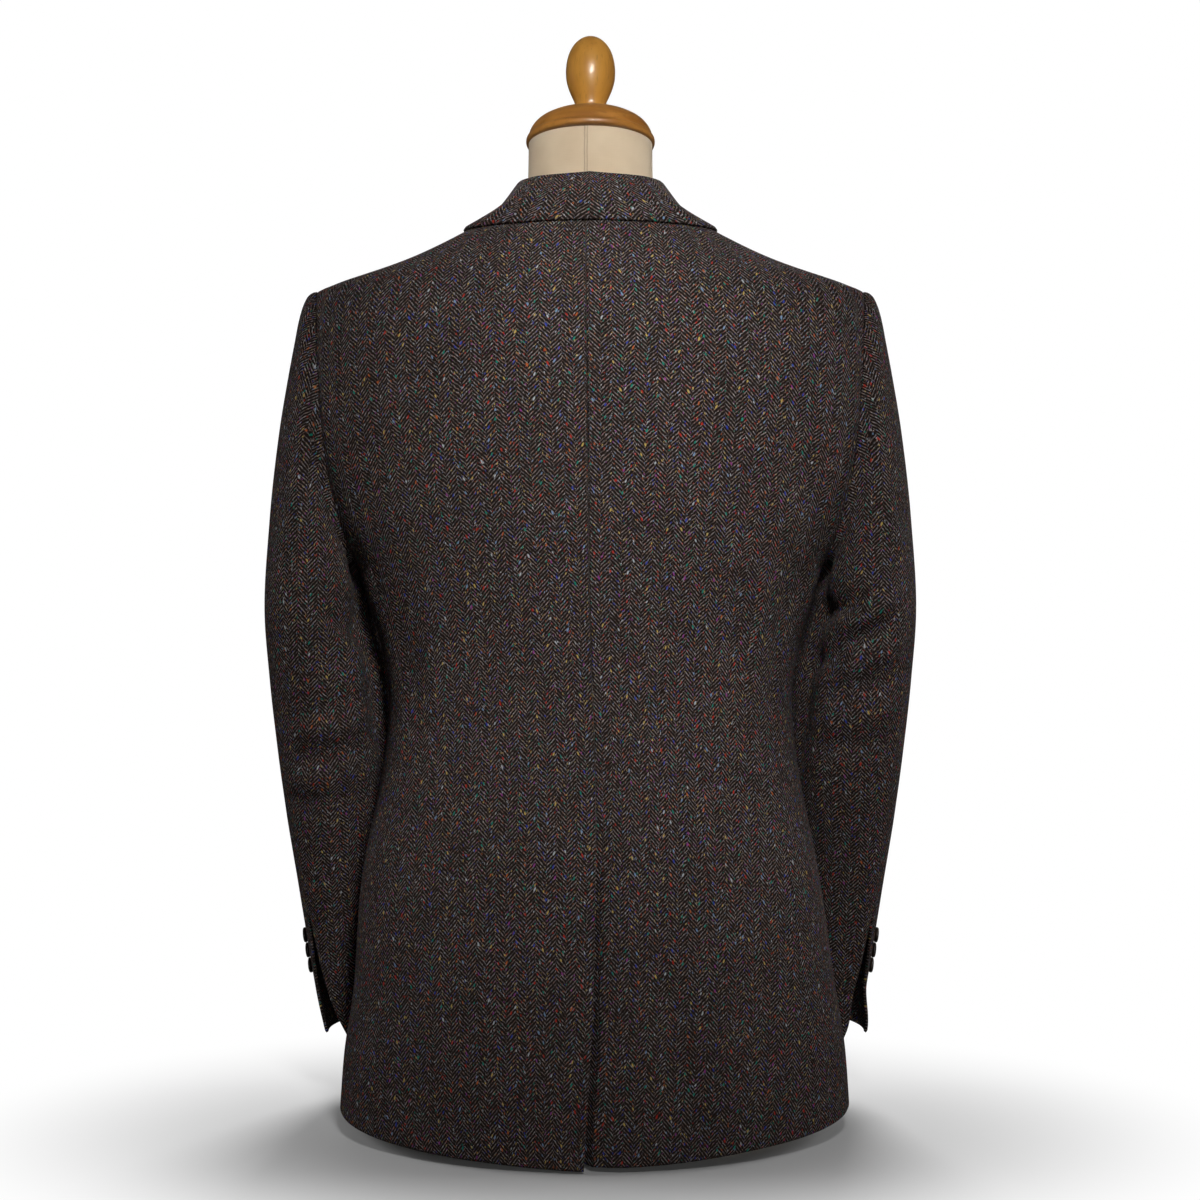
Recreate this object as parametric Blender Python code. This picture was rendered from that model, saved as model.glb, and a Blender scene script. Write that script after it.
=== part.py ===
"""Tweed hacking jacket worn by a limbless dress form that stands on its own flat base.

Metres, +Z up. The front faces -Y and the wearer's left is +X. The origin is the middle of the
footprint, on the surface that the form stands on.

The torso is a stack of rings from the hem to the neck seam. A spot on it is an angle round the body
(0 at the centre back, 90 at the side, 180 at the centre front) and a level, the height of the ring
at the side. The panels are patches of that surface, and what lies on them is made from its points.
"""

import math
from typing import NamedTuple

import bmesh
import bpy
import numpy as np
from mathutils import Matrix, Vector

# --- driving sizes -----------------------------------------------------------------------------

CLOTH = 0.0022  # thickness of the tweed with its canvas
SEAM_TRIM = 0.0002  # each piece stops this far from its seam
SLEEVE_TRIM = 0.0005  # the same for the sleeves
DEPTH_SHIFT = 0.00635  # moves the whole model so that its footprint is centred on Y = 0

HEM = 0.008  # level of the hem
HEM_BACK = 0.0045  # its height at the centre back, at the side and at the centre front
HEM_SIDE = 0.0165
HEM_FRONT = 0.0060
SHOULDER_TIP = 0.707
NECK_SEAM = 0.772

ARMHOLE_HEIGHT = 0.5875  # middle of the armhole
ARMHOLE_RISE = SHOULDER_TIP - ARMHOLE_HEIGHT
ARMHOLE_REACH = 0.064  # from its middle to its back or front edge
BACK_PITCH = 118.0  # degrees round the armhole from its top, where the back seam runs in
FRONT_PITCH = 220.0  # the same for the front seam

VENT_TOP = 0.262
VENT_UNDERLAP = 0.035
LAP_DROP = 0.0031  # how far an under layer lies below the layer that laps it

FRONT_LAP = 0.018  # each front passes the centre by this much
BREAK_HEIGHT = 0.44  # where the lapel starts to roll back
BREAK_SLOPE = 0.2848  # sideways run of the break line for each metre up
QUARTER_RADIUS = 0.062  # of the rounded front corner at the hem
CUTAWAY = 0.016  # how far the fronts swing apart below the last button
LAPEL_TUCK = 0.0032  # extra drop of the right front where its lapel goes under the left one

BUTTON_HEIGHTS = (0.425, 0.318, 0.211)
FRONT_BUTTON = 0.020
SLEEVE_BUTTON = 0.0134
BUTTON_THICKNESS = 0.0030
SLEEVE_BUTTON_HEIGHTS = (0.1500, 0.1359, 0.1218)
SLEEVE_BUTTON_ANGLE = 30.0  # degrees round the sleeve from its outer side

LYING_GAP = 0.0012  # between a panel and the underside of what lies on it
CUFF = 0.062  # height of the sleeve hem
SLEEVE_VENT_TOP = 0.178
FOREARM_SEAM = -115.0  # degrees round the sleeve, from its outer side through the back

CAP_RADIUS = 0.0548
NECK_TOP = 0.8276


class Ring(NamedTuple):
    """A ring of the torso: its heights, its reaches, how square its back and front are, and how
    quickly its height leaves that of the side towards the centre."""

    level: float
    z_back: float
    z_side: float
    z_front: float
    half_width: float
    back: float
    front: float
    power_back: float
    power_front: float
    tilt_power: float = 1.0


def flat_ring(height, half_width, back, front, power_back, power_front, tilt_power=1.0):
    """A level ring."""
    return Ring(height, height, height, height, half_width, back, front, power_back, power_front, tilt_power)


JACKET_RINGS = (
    Ring(HEM, HEM_BACK, HEM_SIDE, HEM_FRONT, 0.2155, 0.1300, 0.1270, 2.08, 2.05, 1.8),
    Ring(0.060, 0.0590, 0.0625, 0.0595, 0.2120, 0.1285, 0.1260, 2.15, 2.05, 1.8),
    flat_ring(0.123, 0.2030, 0.1250, 0.1240, 2.20, 2.05, 1.8),
    flat_ring(0.199, 0.1954, 0.1180, 0.1210, 2.20, 2.10),
    flat_ring(0.244, 0.1880, 0.1120, 0.1180, 2.20, 2.10),
    flat_ring(0.277, 0.1810, 0.1070, 0.1170, 2.20, 2.10),
    flat_ring(0.3185, 0.1745, 0.1020, 0.1180, 2.20, 2.15),
    flat_ring(0.360, 0.1716, 0.1000, 0.1210, 2.20, 2.15),
    flat_ring(0.405, 0.1770, 0.1040, 0.1270, 2.20, 2.20),
    flat_ring(0.446, 0.1890, 0.1110, 0.1320, 2.25, 2.25),
    flat_ring(0.471, 0.1950, 0.1160, 0.1340, 2.30, 2.25),
    flat_ring(0.486, 0.2035, 0.1190, 0.1350, 2.30, 2.25),
    flat_ring(0.504, 0.2145, 0.1220, 0.1360, 2.30, 2.25),
    flat_ring(0.5265, 0.2250, 0.1260, 0.1360, 2.30, 2.25),
    flat_ring(0.556, 0.2345, 0.1300, 0.1350, 2.30, 2.25),
    flat_ring(0.600, 0.2400, 0.1340, 0.1310, 2.30, 2.25),
    flat_ring(0.640, 0.2390, 0.1330, 0.1250, 2.30, 2.25),
    Ring(0.670, 0.670, 0.670, 0.667, 0.2357, 0.1270, 0.1150, 2.30, 2.20),
    Ring(0.690, 0.687, 0.690, 0.684, 0.2330, 0.1210, 0.1050, 2.30, 2.20),
    Ring(SHOULDER_TIP, 0.700, SHOULDER_TIP, 0.698, 0.2297, 0.1145, 0.0960, 2.25, 2.15),
    Ring(0.718, 0.7090, 0.7138, 0.7020, 0.2087, 0.1075, 0.0870, 2.20, 2.10),
    Ring(0.735, 0.7280, 0.7310, 0.7120, 0.1580, 0.0915, 0.0720, 2.15, 2.10),
    Ring(0.752, 0.7475, 0.7500, 0.7250, 0.1190, 0.0770, 0.0600, 2.10, 2.05),
    Ring(0.762, 0.7570, 0.7586, 0.7310, 0.1030, 0.0700, 0.0560, 2.05, 2.02),
    Ring(NECK_SEAM, 0.768, NECK_SEAM, 0.737, 0.0830, 0.0620, 0.0520, 2.00, 2.00),
)

FORM_RINGS = (
    flat_ring(0.000, 0.1740, 0.1000, 0.1020, 2.0, 2.00),
    flat_ring(0.008, 0.1800, 0.1050, 0.1070, 2.0, 2.00),
    flat_ring(0.090, 0.1860, 0.1090, 0.1100, 2.1, 2.05),
    flat_ring(0.200, 0.1800, 0.1040, 0.1070, 2.2, 2.05),
    flat_ring(0.280, 0.1640, 0.0935, 0.1030, 2.2, 2.10),
    flat_ring(0.360, 0.1560, 0.0870, 0.1060, 2.2, 2.10),
    flat_ring(0.440, 0.1680, 0.0960, 0.1160, 2.2, 2.15),
    flat_ring(0.500, 0.1800, 0.1060, 0.1200, 2.2, 2.15),
    flat_ring(0.560, 0.1900, 0.1140, 0.1180, 2.2, 2.15),
    flat_ring(0.620, 0.1970, 0.1180, 0.1110, 2.2, 2.10),
    Ring(0.665, 0.663, 0.665, 0.660, 0.1990, 0.1140, 0.1010, 2.2, 2.10),
    Ring(0.695, 0.689, 0.695, 0.682, 0.1960, 0.1050, 0.0880, 2.15, 2.05),
    Ring(0.710, 0.702, 0.710, 0.691, 0.1860, 0.0980, 0.0790, 2.15, 2.05),
    Ring(0.7275, 0.722, 0.7275, 0.704, 0.1580, 0.0850, 0.0650, 2.10, 2.05),
    Ring(0.7466, 0.7420, 0.7466, 0.719, 0.1190, 0.0700, 0.0540, 2.05, 2.00),
    Ring(0.7620, 0.759, 0.7620, 0.736, 0.0770, 0.0520, 0.0480, 2.00, 2.00),
    Ring(0.7800, 0.781, 0.7800, 0.760, 0.0600, 0.0470, 0.0500, 2.00, 2.00),
    Ring(0.8020, 0.805, 0.8020, 0.797, 0.0530, 0.0466, 0.0525, 2.00, 2.00),
    Ring(NECK_TOP, NECK_TOP + 0.0047, NECK_TOP, NECK_TOP - 0.0053, 0.0525, 0.0466, 0.0530, 2.0, 2.0),
)

FORM_COLUMNS = 24
FORM_LEVELS = (0.0, 0.004, 0.008, 0.05, 0.10, 0.15, 0.20, 0.25, 0.30, 0.35, 0.40, 0.45, 0.50, 0.55,
               0.60, 0.64, 0.67, 0.695, 0.710, 0.7275, 0.7466, 0.762, 0.771, 0.780, 0.790, 0.802,
               0.815, NECK_TOP)

# Heights of the panel rows along the back seam, hem to armhole. The vent's own heights are among them.
SEAM_LEVELS = (HEM, 0.016, 0.030, 0.055, 0.090, 0.135, 0.185, 0.228, 0.250, VENT_TOP,
               0.300, 0.335, 0.370, 0.405, 0.440, 0.470, 0.498)
ARMHOLE_STEP = 20.0  # degrees between the rows that end on the armhole
SHOULDER_LEVELS = (0.718, 0.735, 0.752, NECK_SEAM)

# The centre back seam and the vent edge below it drift a little to each side of the middle.
CENTRE_SEAM = ((HEM, 0.0080), (0.255, -0.0050), (0.450, 0.0), (NECK_SEAM, 0.0035))

SKIRT_SWAY = -0.0036  # the skirt hangs this far to the wearer's right at the hem
SWAY_START = 0.230
SKIRT_HITCH = 0.0036  # and its right side hangs this much higher than its left
SKIRT_PIECES = ("back_", "side_", "front_", "pocket_")

# Where the side body's two seams lie round the body, below the armhole.
BACK_SEAM = ((HEM, 54.0), (0.230, 56.0), (0.360, 62.0))
FRONT_SEAM = ((HEM, 113.0), (0.230, 111.0), (0.360, 108.0))

BACK_COLUMNS = (0.0, 0.05, 0.11, 0.20, 0.32, 0.46, 0.62, 0.80, 1.0)
FRONT_COLUMNS = (0.0, 0.14, 0.28, 0.42, 0.56, 0.69, 0.80, 0.90, 1.0)


# The lapel's outer edge, seen from the front, as height and x: its belly up to the corner, then the
# step into the notch and the gorge.
LAPEL_EDGE = (
    (0.444, -0.0070),
    (0.474, 0.0120),
    (0.509, 0.0380),
    (0.549, 0.0640),
    (0.592, 0.0890),
    (0.633, 0.1110),
    (0.665, 0.1260),
    (0.688, 0.1340),
)
LAPEL_CORNER = (0.1340, 0.6880)
GORGE = (0.0690, 0.7385)  # x and height where the gorge meets the break line
NOTCH = (0.1000, 0.7130)
COLLAR_POINT = (0.1216, 0.7325)
LAPEL_COLUMNS = (0.0, 0.12, 0.30, 0.52, 0.76, 1.0)
LAPEL_STARTS = {"left": BREAK_HEIGHT + 0.004, "right": BREAK_HEIGHT + 0.030}


class CollarColumn(NamedTuple):
    """A line across the collar fall: its fold, a middle point, and its outer edge on the torso."""

    station: float
    fold: tuple
    middle: tuple
    edge_angle: float
    edge_level: float


COLLAR_LIFT = 0.0040  # the fall's outside above the cloth it lies on
GORGE_GAP = 0.0011  # between the collar's end and the lapel, along the gorge
COLLAR_END = 135.0  # the collar ends this far round the neck on each side

COLLAR_COLUMNS = (
    CollarColumn(0.0, (0.0000, 0.0550, 0.7970), (0.0000, 0.0695, 0.7800), 0.0, 0.7570),
    CollarColumn(45.0, (0.0478, 0.0398, 0.7960), (0.0602, 0.0508, 0.7785), 45.0, 0.7562),
    CollarColumn(90.0, (0.0625, 0.0000, 0.8020), (0.0795, 0.0000, 0.7780), 90.0, 0.7600),
)
COLLAR_STATIONS = (0.0, 15.0, 30.0, 45.0, 60.0, 75.0, 90.0, 101.0, 112.0, 124.0, COLLAR_END)
COLLAR_SHARES = (0.0, 0.25, 0.5, 0.75, 1.0)  # from the fold to the outer edge

STAND_END = 118.0  # the stand runs this far round the neck on each side
STAND_INSET = 0.0036  # it lies this far inside the fold
STAND_ROWS = (0.0, 0.35, 0.7, 1.0)
STAND_COLUMNS = 19


class HeadRow(NamedTuple):
    """A row of the sleeve head: how far out from the armhole, above it, and down over the top."""

    out: float
    rise: float
    drop: float


HEAD_ROWS = (
    HeadRow(0.0036, 0.0018, 0.0),
    HeadRow(0.0076, 0.0014, 0.0020),
    HeadRow(0.0114, 0.0006, 0.0085),
    HeadRow(0.0152, 0.0, 0.0220),
)
HEAD_BLEND = (0.07, 0.18, 0.38, 0.68)  # rows between the head and the first level ring
HEAD_FULLNESS = 0.003


class SleeveRing(NamedTuple):
    """A level ring of the sleeve: the reach of its outer side from the centre, and its oval."""

    height: float
    outer: float
    depth: float
    radius_across: float
    radius_along: float
    turn: float


SLEEVE_RINGS = (
    SleeveRing(0.435, 0.2757, -0.008, 0.0432, 0.070, 4.0),
    SleeveRing(0.380, 0.2733, -0.016, 0.0480, 0.065, 8.0),
    SleeveRing(0.320, 0.2690, -0.028, 0.0478, 0.061, 11.0),
    SleeveRing(0.260, 0.2637, -0.046, 0.0430, 0.058, 14.0),
    SleeveRing(0.200, 0.2563, -0.064, 0.0368, 0.056, 17.0),
    SleeveRing(0.150, 0.2505, -0.078, 0.0345, 0.0545, 19.0),
    SleeveRing(0.100, 0.2440, -0.090, 0.0320, 0.054, 20.0),
    SleeveRing(CUFF, 0.2363, -0.095, 0.0300, 0.054, 20.0),
)
ROWS_PER_RING = (1, 1, 1, 1, 1, 1, 2, 2, 2, 1, 2, 2)  # from the sleeve head to the cuff
CUFF_FLARE = {"left": 0.0, "right": 0.0095}  # how far a cuff swings out from the body
FLARE_START = 0.108

# The hind-arm seam's angle, and how far the vent's two edges part from it below the vent's top.
HIND_SEAM = ((CUFF, 64.0), (SLEEVE_VENT_TOP, 68.0), (SHOULDER_TIP, 72.0))
VENT_GAPE = (
    (CUFF, 18.0, 44.0),
    (0.080, 15.0, 33.0),
    (0.120, 8.0, 15.0),
    (SLEEVE_VENT_TOP, 0.0, 0.0),
)
TOP_SLEEVE_COLUMNS = 9
UNDER_SLEEVE_COLUMNS = 8


class Flap(NamedTuple):
    """A slanted pocket: its two upper corners, seen from the front, its depth and its corners' rise."""

    front_x: float
    front_height: float
    back_x: float
    back_height: float
    depth: float
    corner: float


FLAP = Flap(0.1020, 0.238, 0.1690, 0.212, 0.050, 0.010)
FLAP_COLUMNS = (0.0, 0.04, 0.12, 0.3, 0.5, 0.7, 0.88, 0.96, 1.0)
FLAP_ROWS = (0.0, 0.3, 0.6, 0.85, 0.96, 1.0)
JET_WIDTH = 0.006

CAP_HEIGHT = 0.0352

# Radius and height above the cap's seat.
CAP_PROFILE = (
    (0.0, 0.0),
    (CAP_RADIUS - 0.0035, 0.0),
    (CAP_RADIUS - 0.0008, 0.0012),
    (CAP_RADIUS, 0.0035),
    (CAP_RADIUS - 0.0004, 0.0075),
    (0.0530, 0.0112),
    (0.0505, 0.0161),
    (0.0464, 0.0212),
    (0.0400, 0.0256),
    (0.0318, 0.0296),
    (0.0230, 0.0326),
    (0.0150, CAP_HEIGHT - 0.0008),
    (0.0140, CAP_HEIGHT),
    (0.0, CAP_HEIGHT),
)

# Radius and height above the top of the cap.
FINIAL_PROFILE = (
    (0.0, 0.0),
    (0.0134, 0.0),
    (0.0129, 0.0018),
    (0.0129, 0.0046),
    (0.0139, 0.0084),
    (0.0158, 0.0128),
    (0.0180, 0.0180),
    (0.0197, 0.0232),
    (0.0208, 0.0288),
    (0.0211, 0.0350),
    (0.0206, 0.0413),
    (0.0190, 0.0484),
    (0.0168, 0.0538),
    (0.0134, 0.0588),
    (0.0082, 0.0632),
    (0.0, 0.0656),
)


class Look(NamedTuple):
    """A material: colour, roughness and metallic value."""

    name: str
    colour: tuple
    roughness: float
    metallic: float


TWEED = Look("tweed", (0.075, 0.060, 0.054, 1.0), 0.95, 0.0)
COLLAR_TWEED = Look("collar_tweed", (0.065, 0.052, 0.047, 1.0), 0.95, 0.0)
BUTTON_HORN = Look("button_horn", (0.030, 0.020, 0.015, 1.0), 0.40, 0.0)
FORM_CLOTH = Look("form_cloth", (0.78, 0.66, 0.48, 1.0), 0.90, 0.0)
CAP_WOOD = Look("cap_wood", (0.42, 0.19, 0.05, 1.0), 0.35, 0.0)
FINIAL_WOOD = Look("finial_wood", (0.62, 0.34, 0.10, 1.0), 0.28, 0.0)


# --- curves and surfaces -----------------------------------------------------------------------


class Track:
    """A cubic through rows of numbers that never swings past them."""

    def __init__(self, knots, values):
        self.knots = np.array(knots, dtype=float)
        self.values = np.array(values, dtype=float)
        steps = np.diff(self.knots).reshape((-1,) + (1,) * (self.values.ndim - 1))
        rises = np.diff(self.values, axis=0) / steps
        self.slopes = np.zeros_like(self.values)
        before = rises[:-1]
        after = rises[1:]
        weight_before = 2.0 * steps[1:] + steps[:-1]
        weight_after = steps[1:] + 2.0 * steps[:-1]
        turning = before * after <= 0.0
        safe_before = np.where(turning, 1.0, before)
        safe_after = np.where(turning, 1.0, after)
        mean = (weight_before + weight_after) / (weight_before / safe_before + weight_after / safe_after)
        self.slopes[1:-1] = np.where(turning, 0.0, mean)
        self.slopes[0] = rises[0]
        self.slopes[-1] = rises[-1]

    def at(self, knot):
        """The row of numbers at a knot value, held at the ends."""
        knot = min(max(knot, self.knots[0]), self.knots[-1])
        index = int(np.clip(np.searchsorted(self.knots, knot) - 1, 0, len(self.knots) - 2))
        step = self.knots[index + 1] - self.knots[index]
        t = (knot - self.knots[index]) / step
        start_weight = 2.0 * t**3 - 3.0 * t**2 + 1.0
        end_weight = 1.0 - start_weight
        start_slope = (t**3 - 2.0 * t**2 + t) * step
        end_slope = (t**3 - t**2) * step
        return (start_weight * self.values[index] + end_weight * self.values[index + 1]
                + start_slope * self.slopes[index] + end_slope * self.slopes[index + 1])


def ease(value, start, end):
    """0 before start, 1 after end, and a soft step between them."""
    t = min(max((value - start) / (end - start), 0.0), 1.0)
    return t * t * (3.0 - 2.0 * t)


def unit(vector):
    """The vector at length 1."""
    return vector / max(float(np.linalg.norm(vector)), 1e-12)


def bisect(function, low, high):
    """Where a function that rises from below zero crosses it."""
    for _ in range(48):
        middle = 0.5 * (low + high)
        if function(middle) < 0.0:
            low = middle
        else:
            high = middle
    return 0.5 * (low + high)


class Torso:
    """A surface through a stack of rings."""

    def __init__(self, rings):
        table = np.array(rings)
        self.track = Track(table[:, 0], table[:, 1:])

    def ring(self, level):
        """The ring at a level, without its own level."""
        return self.track.at(level)

    def point(self, angle, level):
        """The point at an angle round the body and a level."""
        ring = self.ring(level)
        z_back, z_side, z_front, half_width, back, front, power_back, power_front, tilt_power = ring
        sideways = math.sin(math.radians(angle))
        backwards = math.cos(math.radians(angle))
        if backwards >= 0.0:
            reach, z_end, power = back, z_back, power_back
        else:
            reach, z_end, power = -front, z_front, power_front
        lean = abs(backwards) ** (2.0 / power)
        x = half_width * math.copysign(abs(sideways) ** (2.0 / power), sideways)
        return np.array((x, reach * lean, z_side + (z_end - z_side) * lean**tilt_power))

    def normal(self, angle, level):
        """The outward unit normal there."""
        turn = 0.4
        climb = 0.0008
        low = self.track.knots[0]
        high = self.track.knots[-1]
        below = max(level - climb, low)
        above = min(level + climb, high)
        around = self.point(angle + turn, level) - self.point(angle - turn, level)
        upwards = self.point(angle, above) - self.point(angle, below)
        return unit(np.cross(upwards, around))

    def angle_at_x(self, x, level, in_front):
        """The angle where the ring at a level has this x."""
        ring = self.ring(level)
        half_width = ring[3]
        power = ring[7] if in_front else ring[6]
        sine = min(abs(x) / half_width, 1.0) ** (power / 2.0)
        angle = math.copysign(math.degrees(math.asin(sine)), x)
        return 180.0 - angle if in_front else angle

    def angle_at_y(self, y, level):
        """The angle, on the +X side, where the ring at a level has this y."""
        ring = self.ring(level)
        reach, power = (ring[4], ring[6]) if y >= 0.0 else (ring[5], ring[7])
        cosine = min(abs(y) / reach, 1.0) ** (power / 2.0)
        angle = math.degrees(math.acos(cosine))
        return angle if y >= 0.0 else 180.0 - angle

    def spot_at_side(self, y, z):
        """The angle and level of the point seen at y and z from the +X side."""
        level = bisect(lambda at: self.point(self.angle_at_y(y, at), at)[2] - z, 0.42, SHOULDER_TIP + 0.002)
        return self.angle_at_y(y, level), level

    def spot_in_front(self, x, z):
        """The angle and level of the point seen at x and z from the front."""
        level = bisect(lambda at: self.point(self.angle_at_x(x, at, True), at)[2] - z, HEM, NECK_SEAM)
        return self.angle_at_x(x, level, True), level


JACKET = Torso(JACKET_RINGS)
FORM = Torso(FORM_RINGS)


def armhole_spot(turn):
    """The angle and level on the armhole, turned in degrees from its top through the back."""
    y = ARMHOLE_REACH * math.sin(math.radians(turn))
    z = ARMHOLE_HEIGHT + ARMHOLE_RISE * math.cos(math.radians(turn))
    if abs(y) < 1e-9:
        return 90.0, z
    return JACKET.spot_at_side(y, z)


def seam_angle(table, top_spot, level):
    """The angle of a side seam at a level: the table, then up to the armhole."""
    knots = [row[0] for row in table] + [top_spot[1]]
    angles = [row[1] for row in table] + [top_spot[0]]
    return float(Track(knots, angles).at(level))


class Patch:
    """A panel's grid of points and outward normals."""

    def __init__(self, points, normals):
        self.points = points
        self.normals = normals
        self.rows, self.columns = points.shape[:2]

    def at(self, row, column):
        """The point and normal at a row and a column that may lie between the grid's own."""
        low_row = int(np.clip(math.floor(row), 0, self.rows - 2))
        low_column = int(np.clip(math.floor(column), 0, self.columns - 2))
        down = row - low_row
        across = column - low_column
        corners = ((0, 0), (0, 1), (1, 0), (1, 1))
        shares = ((1.0 - down, down), (1.0 - across, across))
        weights = [shares[0][step] * shares[1][side] for step, side in corners]
        spots = [(low_row + step, low_column + side) for step, side in corners]
        point = sum(weight * self.points[spot] for weight, spot in zip(weights, spots))
        normal = sum(weight * self.normals[spot] for weight, spot in zip(weights, spots))
        return point, unit(normal)

    def column_at_x(self, row, x):
        """The column where a row has this x. The x falls from the first column to the last."""
        return bisect(lambda column: x - self.at(row, column)[0][0], 0.0, self.columns - 1.0)

    def spot(self, x, z):
        """The row and column seen at x and z from the front."""
        row = bisect(lambda at: self.at(at, self.column_at_x(at, x))[0][2] - z, 0.0, self.rows - 1.0)
        return row, self.column_at_x(row, x)

    def lifted(self, row, column, lift):
        """The point moved out by lift, and its normal."""
        point, normal = self.at(row, column)
        return point + normal * lift, normal


def points_on(torso, spots):
    """Points and outward normals of rows of spots."""
    points = np.array([[torso.point(*spot) for spot in row] for row in spots])
    normals = np.array([[torso.normal(*spot) for spot in row] for row in spots])
    return points, normals


# --- solids ------------------------------------------------------------------------------------


def clear_scene():
    """Remove every object."""
    for item in list(bpy.data.objects):
        bpy.data.objects.remove(item, do_unlink=True)


def dress(item, look):
    """Give an object a material of its own."""
    material = bpy.data.materials.new(item.name)
    material.use_nodes = True
    shader = material.node_tree.nodes["Principled BSDF"]
    shader.inputs["Base Color"].default_value = look.colour
    shader.inputs["Roughness"].default_value = look.roughness
    shader.inputs["Metallic"].default_value = look.metallic
    item.data.materials.append(material)


def sway(mesh):
    """Swing the vertices of a piece of the skirt sideways, and hitch up its right side."""
    for vertex in mesh.verts:
        right_side = ease(-vertex.co.x, 0.020, 0.150)
        fall = 1.0 - ease(vertex.co.z, 0.090, SWAY_START)
        vertex.co.x += SKIRT_SWAY * fall
        vertex.co.z += SKIRT_HITCH * fall * right_side


def finish_object(name, mesh, look, smooth_angle=35.0):
    """Turn a bmesh into a named object, shaded smooth up to an angle."""
    if name.startswith(SKIRT_PIECES):
        sway(mesh)
    bmesh.ops.recalc_face_normals(mesh, faces=mesh.faces[:])
    bmesh.ops.translate(mesh, verts=mesh.verts[:], vec=(0.0, DEPTH_SHIFT, 0.0))
    data = bpy.data.meshes.new(name)
    mesh.to_mesh(data)
    mesh.free()
    data.shade_smooth()
    data.set_sharp_from_angle(angle=math.radians(smooth_angle))
    item = bpy.data.objects.new(name, data)
    bpy.context.collection.objects.link(item)
    dress(item, look)
    return item


def trimmed(points, gap):
    """Rows and columns of points with the four borders pulled in from their seams."""
    points = points.copy()
    for border, inner in ((0, 1), (-1, -2)):
        step = points[inner] - points[border]
        length = np.linalg.norm(step, axis=-1, keepdims=True)
        points[border] += step / length * gap
        step = points[:, inner] - points[:, border]
        length = np.linalg.norm(step, axis=-1, keepdims=True)
        points[:, border] += step / length * gap
    return points


def sew_wall(name, patch, look, side=1.0, gap=SEAM_TRIM):
    """A cloth wall: a grid laid on a patch's points, and its underside along the normals."""
    mirror = np.array((side, 1.0, 1.0))
    outer = trimmed(patch.points, gap) * mirror
    inward = -patch.normals * mirror * CLOTH
    rows, columns = patch.rows, patch.columns
    mesh = bmesh.new()
    layer = mesh.verts.layers.float_vector.new("inward")
    bmesh.ops.create_grid(mesh, x_segments=columns - 1, y_segments=rows - 1, size=0.5)
    for vertex in mesh.verts:
        column = round((vertex.co.x + 0.5) * (columns - 1))
        row = round((vertex.co.y + 0.5) * (rows - 1))
        vertex.co = Vector(outer[row, column])
        vertex[layer] = Vector(inward[row, column])
    under = bmesh.ops.extrude_face_region(mesh, geom=mesh.faces[:])
    for element in under["geom"]:
        if isinstance(element, bmesh.types.BMVert):
            element.co += element[layer]
    return finish_object(name, mesh, look)


# --- the body panels ---------------------------------------------------------------------------


def seam_rows():
    """The rows below the armhole, as a share of the way from the hem up the seam."""
    top = armhole_spot(BACK_PITCH)[1]
    return [(level - HEM) / (top - HEM) for level in SEAM_LEVELS] + [1.0]


def armhole_turns(start, end):
    """Turns round the armhole from start to end, evenly spaced, without the start."""
    count = max(1, round(abs(end - start) / ARMHOLE_STEP))
    return [start + (end - start) * (step + 1) / count for step in range(count)]


def centre_seam_x(level):
    """The x of the centre back seam."""
    return float(Track([row[0] for row in CENTRE_SEAM], [row[1] for row in CENTRE_SEAM]).at(level))


def back_panel(side):
    """A back panel. The right one runs on under the left one along the vent."""
    top = armhole_spot(BACK_PITCH)
    rows = []
    for share in seam_rows():
        level = HEM + share * (top[1] - HEM)
        rows.append((level, seam_angle(BACK_SEAM, top, level)))
    for turn in armhole_turns(BACK_PITCH, 0.0):
        angle, level = armhole_spot(turn)
        rows.append((level, angle))
    rows += [(level, 90.0) for level in SHOULDER_LEVELS]
    spots = []
    drops = []
    for level, end in rows:
        seam_x = centre_seam_x(level) * side
        under = 0.0
        if side < 0.0 and level < VENT_TOP - 0.001:
            under = LAP_DROP
        start_x = seam_x
        if under > 0.0 and level < VENT_TOP - 0.02:
            start_x = seam_x - VENT_UNDERLAP
        start = JACKET.angle_at_x(start_x, level, False)
        row = [start + (end - start) * share for share in BACK_COLUMNS]
        spots.append([(angle, level) for angle in row])
        offsets = [JACKET.point(angle, level)[0] - seam_x for angle in row]
        drops.append([under * (1.0 - ease(offset, 0.002, 0.030)) for offset in offsets])
    points, normals = points_on(JACKET, spots)
    return Patch(points - normals * np.array(drops)[..., None], normals)


def side_panel():
    """A side body: its top edge is the lower part of the armhole."""
    turns = [BACK_PITCH] + armhole_turns(BACK_PITCH, FRONT_PITCH)
    tops = [armhole_spot(turn) for turn in turns]
    back_top = tops[0]
    front_top = tops[-1]

    def seams(level):
        return seam_angle(BACK_SEAM, back_top, level), seam_angle(FRONT_SEAM, front_top, level)

    spots = []
    for share in seam_rows():
        row = []
        for angle, top_level in tops:
            back_angle, front_angle = seams(top_level)
            across = (angle - back_angle) / (front_angle - back_angle)
            level = HEM + share * (top_level - HEM)
            back_angle, front_angle = seams(level)
            row.append((back_angle + across * (front_angle - back_angle), level))
        spots.append(row)
    return Patch(*points_on(JACKET, spots))


def front_edge_x(z):
    """The x of the left front's edge, seen from the front, from the hem to the break line's top."""
    if z >= BREAK_HEIGHT:
        return -FRONT_LAP + (z - BREAK_HEIGHT) * BREAK_SLOPE
    x = -FRONT_LAP + CUTAWAY * (1.0 - ease(z, HEM, BUTTON_HEIGHTS[-1]))
    rise = max(z - HEM_FRONT, 0.0) / QUARTER_RADIUS
    if rise < 1.0:
        x += QUARTER_RADIUS * (1.0 - math.sqrt(1.0 - (1.0 - rise) ** 2))
    return x


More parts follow.
